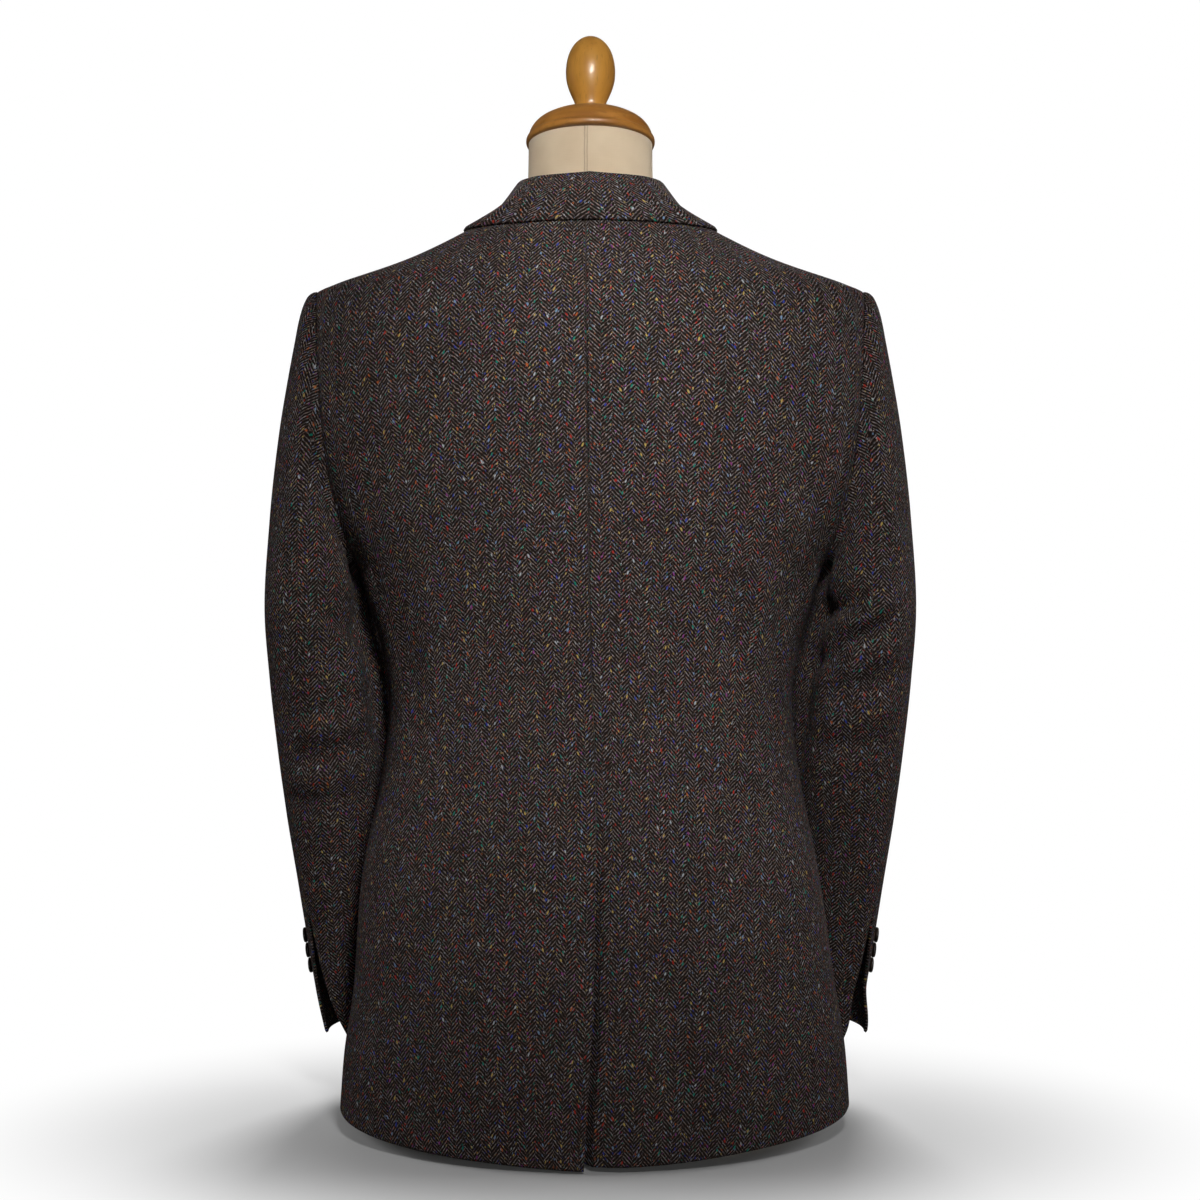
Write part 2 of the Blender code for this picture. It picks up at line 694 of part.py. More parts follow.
def front_edge_angle(level):
    """The angle where the front's edge crosses a ring."""

    def past(angle):
        point = JACKET.point(angle, level)
        return front_edge_x(point[2]) - point[0]

    return bisect(past, 92.0, 200.0)


def under_drop(x, z):
    """How far the right front lies below the left one at its own x, counted from the centre."""
    lap = 1.0 - ease(x, FRONT_LAP + 0.003, FRONT_LAP + 0.065)
    depth = LAP_DROP + LAPEL_TUCK * ease(z, 0.35, 0.43)
    return depth * lap * (1.0 - ease(z, 0.505, 0.63))


def front_panel(side):
    """A front, from the side seam to its edge and the break line."""
    top = armhole_spot(FRONT_PITCH)
    rows = []
    for share in seam_rows():
        level = HEM + share * (top[1] - HEM)
        rows.append((level, seam_angle(FRONT_SEAM, top, level)))
    for turn in armhole_turns(FRONT_PITCH, 360.0):
        angle, level = armhole_spot(turn)
        rows.append((level, angle))
    rows += [(level, 90.0) for level in SHOULDER_LEVELS]
    spots = []
    for level, start in rows:
        end = front_edge_angle(level)
        spots.append([(start + (end - start) * share, level) for share in FRONT_COLUMNS])
    points, normals = points_on(JACKET, spots)
    if side < 0.0:
        drops = np.array([[under_drop(point[0], point[2]) for point in row] for row in points])
        points = points - normals * drops[..., None]
    return Patch(points, normals)


def lapel_edge_x(z):
    """The x of the lapel's outer edge at a height, seen from the front."""
    corner_x, corner_z = LAPEL_CORNER
    if z <= corner_z:
        return float(Track([row[0] for row in LAPEL_EDGE], [row[1] for row in LAPEL_EDGE]).at(z))
    heights = (corner_z, NOTCH[1], GORGE[1])
    return float(np.interp(z, heights, (corner_x, NOTCH[0], GORGE[0])))


def lapel(front, lowest):
    """A lapel: rows from the break line to its outer edge, moved out from the front it lies on."""
    last = front.columns - 1.0
    lift = CLOTH + LYING_GAP
    first_row = bisect(lambda row: front.at(row, last)[0][2] - lowest, 0.0, front.rows - 1.0)
    corner_row = front.spot(*LAPEL_CORNER)[0]
    notch_row = front.spot(*NOTCH)[0]
    top_row = front.spot(GORGE[0] + 0.006, GORGE[1] - 0.006)[0]
    special = (first_row, corner_row, notch_row, top_row)
    rows = list(special)
    for row in range(front.rows):
        if first_row < row < top_row and min(abs(row - other) for other in special) > 0.3:
            rows.append(float(row))
    points = []
    normals = []
    for row in sorted(rows):

        def inside(column, row=row):
            point = front.at(row, column)[0]
            return lapel_edge_x(point[2]) - point[0]

        outer = bisect(inside, 0.0, last)
        line = [front.lifted(row, last + (outer - last) * share, lift) for share in LAPEL_COLUMNS]
        points.append([entry[0] for entry in line])
        normals.append([entry[1] for entry in line])
    return Patch(np.array(points), np.array(normals))


# --- the collar --------------------------------------------------------------------------------


def collar_half():
    """The points of the fall from the centre back to its left end."""
    on_front = {"corner": JACKET.spot_in_front(*COLLAR_POINT)}
    stations = [column.station for column in COLLAR_COLUMNS] + [COLLAR_END]
    seam = np.array((GORGE[0] - NOTCH[0], GORGE[1] - NOTCH[1]))
    clear = np.array((-seam[1], seam[0])) / np.linalg.norm(seam)
    on_front["gorge"] = JACKET.spot_in_front(*(GORGE - clear * GORGE_GAP))
    on_front["notch"] = JACKET.spot_in_front(*(NOTCH - clear * GORGE_GAP))
    gorge, notch = (
        JACKET.point(*on_front[name]) + JACKET.normal(*on_front[name]) * COLLAR_LIFT
        for name in ("gorge", "notch")
    )
    folds = Track(stations, [column.fold for column in COLLAR_COLUMNS] + [tuple(gorge)])
    middles = Track(stations, [column.middle for column in COLLAR_COLUMNS] + [tuple(notch)])
    edge_spots = [(column.edge_angle, column.edge_level) for column in COLLAR_COLUMNS]
    edges = Track(stations, edge_spots + [on_front["corner"]])
    lines = []
    for station in COLLAR_STATIONS:
        angle, level = edges.at(station)
        edge = JACKET.point(angle, level) + JACKET.normal(angle, level) * COLLAR_LIFT
        control = np.array((folds.at(station), middles.at(station), edge))
        bend = Track((0.0, 0.5, 1.0), control)
        straight = np.array([[np.interp(share, (0.0, 0.5, 1.0), axis) for axis in control.T]
                             for share in COLLAR_SHARES])
        flat = ease(station, 100.0, 120.0)
        bent = np.array([bend.at(share) for share in COLLAR_SHARES])
        lines.append(bent + (straight - bent) * flat)
    return np.array(lines), folds


def grid_normals(points):
    """Unit normals of a grid of points, from its own neighbours."""
    down = np.gradient(points, axis=0)
    across = np.gradient(points, axis=1)
    normals = np.cross(down, across)
    return normals / np.linalg.norm(normals, axis=-1, keepdims=True)


def outward_patch(points):
    """A patch round the neck, with its normals turned outwards."""
    normals = grid_normals(points)
    outward = 1.0 if normals[len(normals) // 2, 1, 1] > 0.0 else -1.0
    return Patch(points, normals * outward)


def collar_fall():
    """The fall, folded over the stand and lying on the shoulders and the fronts."""
    lines, _ = collar_half()
    mirror = np.array((-1.0, 1.0, 1.0))
    return outward_patch(np.concatenate((lines[:0:-1] * mirror, lines)))


def collar_stand():
    """The stand, from the neck seam up to just below the fold."""
    _, fold = collar_half()
    points = []
    for step in range(STAND_COLUMNS):
        angle = -STAND_END + 2.0 * STAND_END * step / (STAND_COLUMNS - 1)
        mirror = np.array((1.0 if angle >= 0.0 else -1.0, 1.0, 1.0))
        foot = JACKET.point(abs(angle), NECK_SEAM)
        top = fold.at(abs(angle))
        centre = np.array((0.0, 0.0, top[2]))
        top = top - unit(top - centre) * STAND_INSET - np.array((0.0, 0.0, 0.0012))
        foot = foot + np.array((0.0, 0.0, 0.0010)) - unit(foot - np.array((0.0, 0.0, foot[2]))) * 0.0032
        rise = top - foot
        line = []
        for share in STAND_ROWS:
            lean = 1.0 - (1.0 - share) ** 1.35
            line.append((foot + rise * np.array((lean, lean, share))) * mirror)
        points.append(line)
    return outward_patch(np.array(points))


# --- the sleeves -------------------------------------------------------------------------------


def oval_point(ring, angle):
    """A point of a level sleeve ring: 0 is its outer side, 90 its back."""
    turn = math.radians(ring.turn)
    across = np.array((math.cos(turn), -math.sin(turn), 0.0))
    along = np.array((math.sin(turn), math.cos(turn), 0.0))
    reach = math.hypot(ring.radius_across * math.cos(turn), ring.radius_along * math.sin(turn))
    centre = np.array((ring.outer - reach, ring.depth, ring.height))
    radians = math.radians(angle)
    return (centre + across * (ring.radius_across * math.cos(radians))
            + along * (ring.radius_along * math.sin(radians)))


def sleeve_line(angle):
    """The points down the sleeve at one angle: the head, the blend and the level rings."""
    spot = armhole_spot(angle % 360.0)
    root = JACKET.point(*spot)
    cosine = math.cos(math.radians(angle))
    sine = math.sin(math.radians(angle))
    out = np.array((1.0, 0.0, 0.0))
    spread = np.array((0.0, sine, cosine))
    down = np.array((0.0, 0.0, -1.0))
    reach_share = 0.25 + 0.375 * (1.0 + cosine)
    rise_share = (0.5 * (1.0 + cosine)) ** 1.5
    drop_share = max(0.0, cosine) ** 2
    line = [root + out * 0.0006 - spread * 0.0012]
    for row in HEAD_ROWS:
        line.append(root + out * (row.out * reach_share) + spread * (row.rise * rise_share)
                    + down * (row.drop * drop_share))
    head = line[-1]
    first = oval_point(SLEEVE_RINGS[0], angle)
    for share in HEAD_BLEND:
        bulge = HEAD_FULLNESS * math.sin(math.pi * share) * (1.5 + 0.5 * cosine)
        line.append(head + (first - head) * share + np.array((cosine, sine, 0.0)) * bulge)
    line += [oval_point(ring, angle) for ring in SLEEVE_RINGS]
    return np.array(line)


def sleeve_stations():
    """How far down the sleeve's outer side each point of a line lies."""
    line = sleeve_line(0.0)
    steps = np.linalg.norm(np.diff(line, axis=0), axis=1)
    return np.concatenate(((0.0,), np.cumsum(steps)))


def cuff_swing(heights, flare):
    """How far outwards a flared cuff stands at each height."""
    share = np.clip((FLARE_START - heights) / (FLARE_START - CUFF), 0.0, 1.0)
    return flare * share * share * (3.0 - 2.0 * share)


class Sleeve:
    """The sleeve as a surface over an angle and a distance down its outer side."""

    def __init__(self):
        self.stations = sleeve_stations()
        self.lines = {}
        self.seam = Track([row[0] for row in HIND_SEAM], [row[1] for row in HIND_SEAM])
        self.gape = Track([row[0] for row in VENT_GAPE], [row[1:] for row in VENT_GAPE])

    def point(self, angle, station):
        """The point at an angle and a station."""
        key = round(angle, 6)
        if key not in self.lines:
            self.lines[key] = Track(self.stations, sleeve_line(angle))
        return self.lines[key].at(station)

    def normal(self, angle, station):
        """The outward unit normal there."""
        turn = 1.0
        below = min(station + 0.002, self.stations[-1])
        above = max(station - 0.002, 0.0)
        around = self.point(angle + turn, station) - self.point(angle - turn, station)
        downwards = self.point(angle, below) - self.point(angle, above)
        return unit(np.cross(downwards, around))

    def station_at(self, angle, height):
        """The station where the line at an angle has a height, below the head."""
        start = self.stations[len(HEAD_ROWS)]
        return bisect(lambda at: height - self.point(angle, at)[2], start, self.stations[-1])

    def rows(self):
        """Stations of the rows of a sleeve panel."""
        head = list(self.stations[:len(HEAD_ROWS) + 1])
        rest = self.stations[len(HEAD_ROWS):]
        rows = head
        for start, end, count in zip(rest[:-1], rest[1:], ROWS_PER_RING):
            rows += [start + (end - start) * (step + 1) / count for step in range(count)]
        return rows

    def edges(self, height):
        """The angles of the top sleeve's hind edge and of the under sleeve's."""
        seam = float(self.seam.at(height))
        top_gape, under_gape = self.gape.at(height)
        return seam - top_gape, seam + under_gape

    def panel(self, is_top, flare):
        """Points and normals of the top sleeve or the under sleeve."""
        columns = TOP_SLEEVE_COLUMNS if is_top else UNDER_SLEEVE_COLUMNS
        points = []
        normals = []
        for station in self.rows():
            height = self.point(70.0, station)[2]
            top_edge, under_edge = self.edges(height)
            if is_top:
                start, end = FOREARM_SEAM, top_edge
            else:
                start, end = under_edge, 360.0 + FOREARM_SEAM
            angles = [start + (end - start) * step / (columns - 1) for step in range(columns)]
            points.append([self.point(angle, station) for angle in angles])
            normals.append([self.normal(angle, station) for angle in angles])
        points = np.array(points)
        points[..., 0] += cuff_swing(points[..., 2], flare)
        return Patch(points, np.array(normals))


# --- pockets and buttons -----------------------------------------------------------------------


def pocket_spot(front, across, height_offset):
    """A spot at a share of the pocket's width and an offset from its slanted upper edge."""
    x = FLAP.front_x + (FLAP.back_x - FLAP.front_x) * across
    z = FLAP.front_height + (FLAP.back_height - FLAP.front_height) * across + height_offset
    return front.lifted(*front.spot(x, z), CLOTH + LYING_GAP)


def pocket_flap(front):
    """A flap with rounded lower corners."""
    points = []
    normals = []
    for share in FLAP_ROWS:
        line = []
        for across in FLAP_COLUMNS:
            end = min(across, 1.0 - across) / FLAP_COLUMNS[2]
            corner = FLAP.corner * max(0.0, 1.0 - end) ** 2
            line.append(pocket_spot(front, across, -(FLAP.depth - corner) * share))
        points.append([entry[0] for entry in line])
        normals.append([entry[1] for entry in line])
    return Patch(np.array(points), np.array(normals))


def pocket_jet(front):
    """The narrow welt above the flap."""
    points = []
    normals = []
    for offset in (JET_WIDTH + 0.0006, 0.0006):
        line = [pocket_spot(front, across, offset) for across in FLAP_COLUMNS]
        points.append([entry[0] for entry in line])
        normals.append([entry[1] for entry in line])
    return Patch(np.array(points), np.array(normals))


def button(name, point, normal, diameter, gap):
    """A dished button that lies flat on the cloth, the gap above the point."""
    radius = 0.5 * diameter
    mesh = bmesh.new()
    made = bmesh.ops.create_cone(mesh, cap_ends=True, cap_tris=False, segments=16,
                                 radius1=radius, radius2=radius * 0.96, depth=BUTTON_THICKNESS)
    bmesh.ops.translate(mesh, verts=made["verts"], vec=(0.0, 0.0, gap + 0.5 * BUTTON_THICKNESS))
    mesh.faces.ensure_lookup_table()
    face = max(mesh.faces, key=lambda item: item.calc_center_median().z)
    bmesh.ops.inset_region(mesh, faces=[face], thickness=radius * 0.22, depth=0.0)
    bmesh.ops.inset_region(mesh, faces=[face], thickness=radius * 0.12, depth=-0.0008)
    turn = Vector((0.0, 0.0, 1.0)).rotation_difference(Vector(normal)).to_matrix().to_4x4()
    bmesh.ops.transform(mesh, matrix=Matrix.Translation(Vector(point)) @ turn, verts=mesh.verts[:])
    return finish_object(name, mesh, BUTTON_HORN)


# --- the dress form ----------------------------------------------------------------------------


def dress_form():
    """The torso and neck: a round face drawn up through the rings."""
    mesh = bmesh.new()
    layer = mesh.verts.layers.int.new("column")
    bmesh.ops.create_circle(mesh, cap_ends=True, segments=FORM_COLUMNS, radius=1.0)
    for vertex in mesh.verts:
        turn = math.degrees(math.atan2(vertex.co.x, vertex.co.y)) % 360.0
        vertex[layer] = round(turn / 360.0 * FORM_COLUMNS) % FORM_COLUMNS

    def settle(vertices, level):
        for vertex in vertices:
            vertex.co = Vector(FORM.point(vertex[layer] * 360.0 / FORM_COLUMNS, level))

    settle(mesh.verts, FORM_LEVELS[0])
    top = mesh.faces[:]
    for level in FORM_LEVELS[1:]:
        grown = bmesh.ops.extrude_face_region(mesh, geom=top)["geom"]
        settle([item for item in grown if isinstance(item, bmesh.types.BMVert)], level)
        if level != FORM_LEVELS[1]:
            bmesh.ops.delete(mesh, geom=top, context="FACES_ONLY")
        top = [item for item in grown if isinstance(item, bmesh.types.BMFace)]
    return finish_object("dress_form", mesh, FORM_CLOTH)


def turned(name, profile, segments, look, matrix):
    """A solid of revolution: a profile of radius and height, spun about its axis and placed."""
    mesh = bmesh.new()
    vertices = [mesh.verts.new((radius, 0.0, height)) for radius, height in profile]
    edges = [mesh.edges.new(pair) for pair in zip(vertices[:-1], vertices[1:])]
    bmesh.ops.spin(mesh, geom=vertices + edges, cent=(0.0, 0.0, 0.0), axis=(0.0, 0.0, 1.0),
                   angle=math.tau, steps=segments, use_merge=True)
    bmesh.ops.remove_doubles(mesh, verts=mesh.verts[:], dist=1e-6)
    bmesh.ops.transform(mesh, matrix=matrix, verts=mesh.verts[:])
    return finish_object(name, mesh, look)


def form_top():
    """The cap on the neck and the knob on the cap, leaning forward with the neck's top."""
    back = FORM.point(0.0, NECK_TOP)
    front = FORM.point(180.0, NECK_TOP)
    seat = 0.5 * (back + front)
    axis = unit(np.cross(np.array((1.0, 0.0, 0.0)), back - front))
    turn = Vector((0.0, 0.0, 1.0)).rotation_difference(Vector(axis)).to_matrix().to_4x4()
    cap_seat = seat + axis * 0.0003
    knob_seat = cap_seat + axis * (CAP_HEIGHT + 0.0003)
    turned("neck_cap", CAP_PROFILE, 28, CAP_WOOD, Matrix.Translation(Vector(cap_seat)) @ turn)
    turned("finial", FINIAL_PROFILE, 20, FINIAL_WOOD, Matrix.Translation(Vector(knob_seat)) @ turn)


# --- the whole ---------------------------------------------------------------------------------


def build():
    """Make every piece."""
    clear_scene()
    dress_form()
    form_top()
    sleeve = Sleeve()
    fronts = {}
    for side, word in ((1.0, "left"), (-1.0, "right")):
        front = front_panel(side)
        fronts[word] = front
        sew_wall(f"back_{word}", back_panel(side), TWEED, side)
        sew_wall(f"side_{word}", side_panel(), TWEED, side)
        sew_wall(f"front_{word}", front, TWEED, side)
        sew_wall(f"lapel_{word}", lapel(front, LAPEL_STARTS[word]), TWEED, side)
        flare = CUFF_FLARE[word]
        sew_wall(f"top_sleeve_{word}", sleeve.panel(True, flare), TWEED, side, SLEEVE_TRIM)
        sew_wall(f"under_sleeve_{word}", sleeve.panel(False, flare), TWEED, side, SLEEVE_TRIM)
        sew_wall(f"pocket_flap_{word}", pocket_flap(front), TWEED, side)
        sew_wall(f"pocket_jet_{word}", pocket_jet(front), TWEED, side)
        mirror = np.array((side, 1.0, 1.0))
        for number, height in enumerate(SLEEVE_BUTTON_HEIGHTS, start=1):
            station = sleeve.station_at(SLEEVE_BUTTON_ANGLE, height)
            point = sleeve.point(SLEEVE_BUTTON_ANGLE, station) * mirror
            normal = sleeve.normal(SLEEVE_BUTTON_ANGLE, station) * mirror
            button(f"sleeve_button_{word}_{number}", point, normal, SLEEVE_BUTTON, 0.0004)
    sew_wall("collar_fall", collar_fall(), COLLAR_TWEED)
    sew_wall("collar_stand", collar_stand(), COLLAR_TWEED)
    for number, height in enumerate(BUTTON_HEIGHTS, start=1):
        point, normal = fronts["left"].at(*fronts["left"].spot(0.0, height))
        button(f"front_button_{number}", point, normal, FRONT_BUTTON, 0.0004)


build()
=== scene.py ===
"""Looks of a tweed hacking jacket that a limbless dress form wears.

Metres, +Z up. The jacket's front faces -Y and the wearer's left is +X. Each cloth piece is a fine grid
on the surface of its own solid, with a weave map in metres of cloth, soft creases and rolled edges.
"""

import logging
import math
from collections.abc import Callable, Mapping, Sequence
from dataclasses import dataclass, field
from enum import Enum
from typing import NamedTuple

import bmesh
import bpy
import numpy as np
from mathutils import Matrix, Vector


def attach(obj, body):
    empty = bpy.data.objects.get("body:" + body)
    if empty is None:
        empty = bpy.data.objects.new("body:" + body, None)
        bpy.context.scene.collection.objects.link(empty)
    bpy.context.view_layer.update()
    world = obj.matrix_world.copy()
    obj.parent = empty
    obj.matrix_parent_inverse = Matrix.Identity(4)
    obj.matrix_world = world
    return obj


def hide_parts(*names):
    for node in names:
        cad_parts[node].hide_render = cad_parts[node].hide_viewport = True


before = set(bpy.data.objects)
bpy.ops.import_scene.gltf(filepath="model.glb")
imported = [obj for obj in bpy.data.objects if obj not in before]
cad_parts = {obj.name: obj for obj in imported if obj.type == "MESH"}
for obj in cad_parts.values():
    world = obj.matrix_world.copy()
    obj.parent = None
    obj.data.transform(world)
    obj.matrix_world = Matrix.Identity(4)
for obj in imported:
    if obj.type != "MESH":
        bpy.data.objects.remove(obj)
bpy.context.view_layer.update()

LOG = logging.getLogger("jacket")
Array = np.ndarray
Pair = tuple[float, float]
Triple = tuple[float, float, float]
Colour = Triple
Numbers = float | Array
Material = bpy.types.Material
Socket = bpy.types.NodeSocket
BMesh = bmesh.types.BMesh

UP = np.array((0.0, 0.0, 1.0))
LEVEL = np.array((1.0, 1.0, 0.0))  # times a vector, leaves out its height
SIDE_NAMES = {1.0: "left", -1.0: "right"}  # of the wearer, by the sign of x

# --- sizes shared by the cloth pieces ------------------------------------------------------------

CLOTH = 0.0022  # thickness of the tweed with its canvas
DEPTH_SHIFT = np.array((0.0, 0.00635, 0.0))  # the surfaces below are drawn this far from their place

HEM = 0.008
HEM_BACK = 0.0045
HEM_SIDE = 0.0165
HEM_FRONT = 0.0060
SHOULDER_TIP = 0.707
NECK_SEAM = 0.772

ARMHOLE_HEIGHT = 0.5875
ARMHOLE_RISE = SHOULDER_TIP - ARMHOLE_HEIGHT
ARMHOLE_REACH = 0.064
BACK_PITCH = 118.0
FRONT_PITCH = 220.0

VENT_TOP = 0.262
VENT_CORNER = 0.250  # below this the underlap widens
VENT_FULL = 0.228  # and here it has its whole width
VENT_UNDERLAP = 0.035
LAP_DROP = 0.0031

FRONT_LAP = 0.018
BREAK_HEIGHT = 0.44
BREAK_SLOPE = 0.2848
QUARTER_RADIUS = 0.062
CUTAWAY = 0.016
LAPEL_TUCK = 0.0032
LAST_BUTTON = 0.211

LYING_GAP = 0.0012
CUFF = 0.062
SLEEVE_VENT_TOP = 0.178
FOREARM_SEAM = -115.0

NECK_TOP = 0.8321


def level_rings(*rows: tuple[float, ...]) -> list[tuple[float, ...]]:
    """Rings at one height all round, from rows of that height, the half width, reaches and squareness."""
    return [(*row[:1] * 4, *row[1:], 1.0) for row in rows]


# A ring of the torso: level, heights at the back, side and front, half width, reach back and
# forwards, squareness of the back and the front, and how the height runs between side and centre.
JACKET_RINGS = (
    (HEM, HEM_BACK, HEM_SIDE, HEM_FRONT, 0.2155, 0.1300, 0.1270, 2.08, 2.05, 1.8),
    (0.060, 0.0590, 0.0625, 0.0595, 0.2120, 0.1285, 0.1260, 2.15, 2.05, 1.8),
    (0.123, 0.123, 0.123, 0.123, 0.2030, 0.1250, 0.1240, 2.20, 2.05, 1.8),
    *level_rings(
        (0.199, 0.1954, 0.1180, 0.1210, 2.20, 2.10),
        (0.244, 0.1880, 0.1120, 0.1180, 2.20, 2.10),
        (0.277, 0.1810, 0.1070, 0.1170, 2.20, 2.10),
        (0.3185, 0.1745, 0.1020, 0.1180, 2.20, 2.15),
        (0.360, 0.1716, 0.1000, 0.1210, 2.20, 2.15),
        (0.405, 0.1770, 0.1040, 0.1270, 2.20, 2.20),
        (0.446, 0.1890, 0.1110, 0.1320, 2.25, 2.25),
        (0.471, 0.1950, 0.1160, 0.1340, 2.30, 2.25),
        (0.486, 0.2035, 0.1190, 0.1350, 2.30, 2.25),
        (0.504, 0.2145, 0.1220, 0.1360, 2.30, 2.25),
        (0.5265, 0.2250, 0.1260, 0.1360, 2.30, 2.25),
        (0.556, 0.2345, 0.1300, 0.1350, 2.30, 2.25),
        (0.600, 0.2400, 0.1340, 0.1310, 2.30, 2.25),
        (0.640, 0.2390, 0.1330, 0.1250, 2.30, 2.25),
    ),
    (0.670, 0.670, 0.670, 0.667, 0.2357, 0.1270, 0.1150, 2.30, 2.20, 1.0),
    (0.690, 0.687, 0.690, 0.684, 0.2330, 0.1210, 0.1050, 2.30, 2.20, 1.0),
    (SHOULDER_TIP, 0.700, SHOULDER_TIP, 0.698, 0.2297, 0.1145, 0.0960, 2.25, 2.15, 1.0),
    (0.718, 0.7090, 0.7138, 0.7020, 0.2087, 0.1075, 0.0870, 2.20, 2.10, 1.0),
    (0.735, 0.7280, 0.7310, 0.7120, 0.1580, 0.0915, 0.0720, 2.15, 2.10, 1.0),
    (0.752, 0.7475, 0.7500, 0.7250, 0.1190, 0.0770, 0.0600, 2.10, 2.05, 1.0),
    (0.762, 0.7570, 0.7586, 0.7310, 0.1030, 0.0700, 0.0560, 2.05, 2.02, 1.0),
    (NECK_SEAM, 0.768, NECK_SEAM, 0.737, 0.0830, 0.0620, 0.0520, 2.00, 2.00, 1.0),
)

FORM_RINGS = (
    *level_rings(
        (0.000, 0.1740, 0.1000, 0.1020, 2.0, 2.00),
        (0.008, 0.1800, 0.1050, 0.1070, 2.0, 2.00),
        (0.090, 0.1860, 0.1090, 0.1100, 2.1, 2.05),
        (0.200, 0.1800, 0.1040, 0.1070, 2.2, 2.05),
        (0.280, 0.1640, 0.0935, 0.1030, 2.2, 2.10),
        (0.360, 0.1560, 0.0870, 0.1060, 2.2, 2.10),
        (0.440, 0.1680, 0.0960, 0.1160, 2.2, 2.15),
        (0.500, 0.1800, 0.1060, 0.1200, 2.2, 2.15),
        (0.560, 0.1900, 0.1140, 0.1180, 2.2, 2.15),
        (0.620, 0.1970, 0.1180, 0.1110, 2.2, 2.10),
    ),
    (0.665, 0.663, 0.665, 0.660, 0.1990, 0.1140, 0.1010, 2.2, 2.10, 1.0),
    (0.695, 0.689, 0.695, 0.682, 0.1960, 0.1050, 0.0880, 2.15, 2.05, 1.0),
    (0.710, 0.702, 0.710, 0.691, 0.1860, 0.0980, 0.0790, 2.15, 2.05, 1.0),
    (0.7275, 0.722, 0.7275, 0.704, 0.1580, 0.0850, 0.0650, 2.10, 2.05, 1.0),
    (0.7466, 0.7420, 0.7466, 0.719, 0.1190, 0.0700, 0.0540, 2.05, 2.00, 1.0),
    (0.7620, 0.759, 0.7620, 0.736, 0.0770, 0.0520, 0.0480, 2.00, 2.00, 1.0),
    (0.7800, 0.781, 0.7800, 0.760, 0.0600, 0.0470, 0.0500, 2.00, 2.00, 1.0),
    (0.8020, 0.8055, 0.8020, 0.7965, 0.0530, 0.0466, 0.0525, 2.00, 2.00, 1.0),
    (NECK_TOP, NECK_TOP + 0.0047, NECK_TOP, NECK_TOP - 0.0053, 0.0525, 0.0466, 0.0530, 2.0, 2.0, 1.0),
)

CENTRE_SEAM = ((HEM, 0.0080), (0.255, -0.0050), (0.450, 0.0), (NECK_SEAM, 0.0035))  # level, x
BACK_SEAM = ((HEM, 54.0), (0.230, 56.0), (0.360, 62.0))  # level, degrees round the body
FRONT_SEAM = ((HEM, 113.0), (0.230, 111.0), (0.360, 108.0))

SKIRT_SWAY = -0.0036
SWAY_START = 0.230
SKIRT_HITCH = 0.0036

LAPEL_EDGE = (  # height, x
    (0.444, -0.0070),
    (0.474, 0.0120),
    (0.509, 0.0380),
    (0.549, 0.0640),
    (0.592, 0.0890),
    (0.633, 0.1110),
    (0.665, 0.1260),
    (0.688, 0.1340),
)
LAPEL_CORNER = (0.1340, 0.6880)
GORGE = (0.0690, 0.7385)
NOTCH = (0.1000, 0.7130)
COLLAR_POINT = (0.1216, 0.7325)

# --- curves --------------------------------------------------------------------------------------


class Track:
    """A cubic through rows of numbers that never swings past them."""

    def __init__(self, knots: Sequence[float] | Array, values: Sequence | Array) -> None:
        """Fit the slopes.

        Args:
            knots: rising positions.
            values: a number or an array at each knot.
        """
        self.knots = np.array(knots, dtype=float)
        self.values = np.array(values, dtype=float)
        steps = np.diff(self.knots).reshape((-1,) + (1,) * (self.values.ndim - 1))
        rises = np.diff(self.values, axis=0) / steps
        before, after = rises[:-1], rises[1:]
        weight_before = 2.0 * steps[1:] + steps[:-1]
        weight_after = steps[1:] + 2.0 * steps[:-1]
        turning = before * after <= 0.0
        safe_before = np.where(turning, 1.0, before)
        safe_after = np.where(turning, 1.0, after)
        mean = (weight_before + weight_after) / (weight_before / safe_before + weight_after / safe_after)
        self.slopes = np.concatenate((rises[:1], np.where(turning, 0.0, mean), rises[-1:]))

    def at(self, knot: Numbers) -> Array:
        """The values at one or many knots, held at the ends.

        Args:
            knot: a position, or an array of them.

        Returns:
            An array with the shape of the positions, then that of one value.
        """
        knot = np.clip(np.asarray(knot, dtype=float), self.knots[0], self.knots[-1])
        index = np.clip(np.searchsorted(self.knots, knot) - 1, 0, len(self.knots) - 2)
        shape = knot.shape + (1,) * (self.values.ndim - 1)
        step = (self.knots[index + 1] - self.knots[index]).reshape(shape)
        t = (knot - self.knots[index]).reshape(shape) / step
        start_weight = 2.0 * t**3 - 3.0 * t**2 + 1.0
        start_slope = (t**3 - 2.0 * t**2 + t) * step
        end_slope = (t**3 - t**2) * step
        return (start_weight * self.values[index] + (1.0 - start_weight) * self.values[index + 1]
                + start_slope * self.slopes[index] + end_slope * self.slopes[index + 1])


def ease(value: Numbers, start: float, end: float) -> Array:
    """0 before start, 1 after end, and a soft step between them."""
    t = np.clip((np.asarray(value, dtype=float) - start) / (end - start), 0.0, 1.0)
    return t * t * (3.0 - 2.0 * t)


def hump(value: Numbers, centre: float, width: float) -> Array:
    """A bell of height 1 at the centre."""
    return np.exp(-(((np.asarray(value, dtype=float) - centre) / width) ** 2))


def unit(vectors: Array) -> Array:
    """The vectors at length 1."""
    return vectors / np.maximum(np.linalg.norm(vectors, axis=-1, keepdims=True), 1e-12)


def dot(first: Array, second: Array) -> Array:
    """Scalar products along the last axis."""
    return np.sum(first * second, axis=-1)


HALVINGS = 44  # enough for a crossing to the last digit


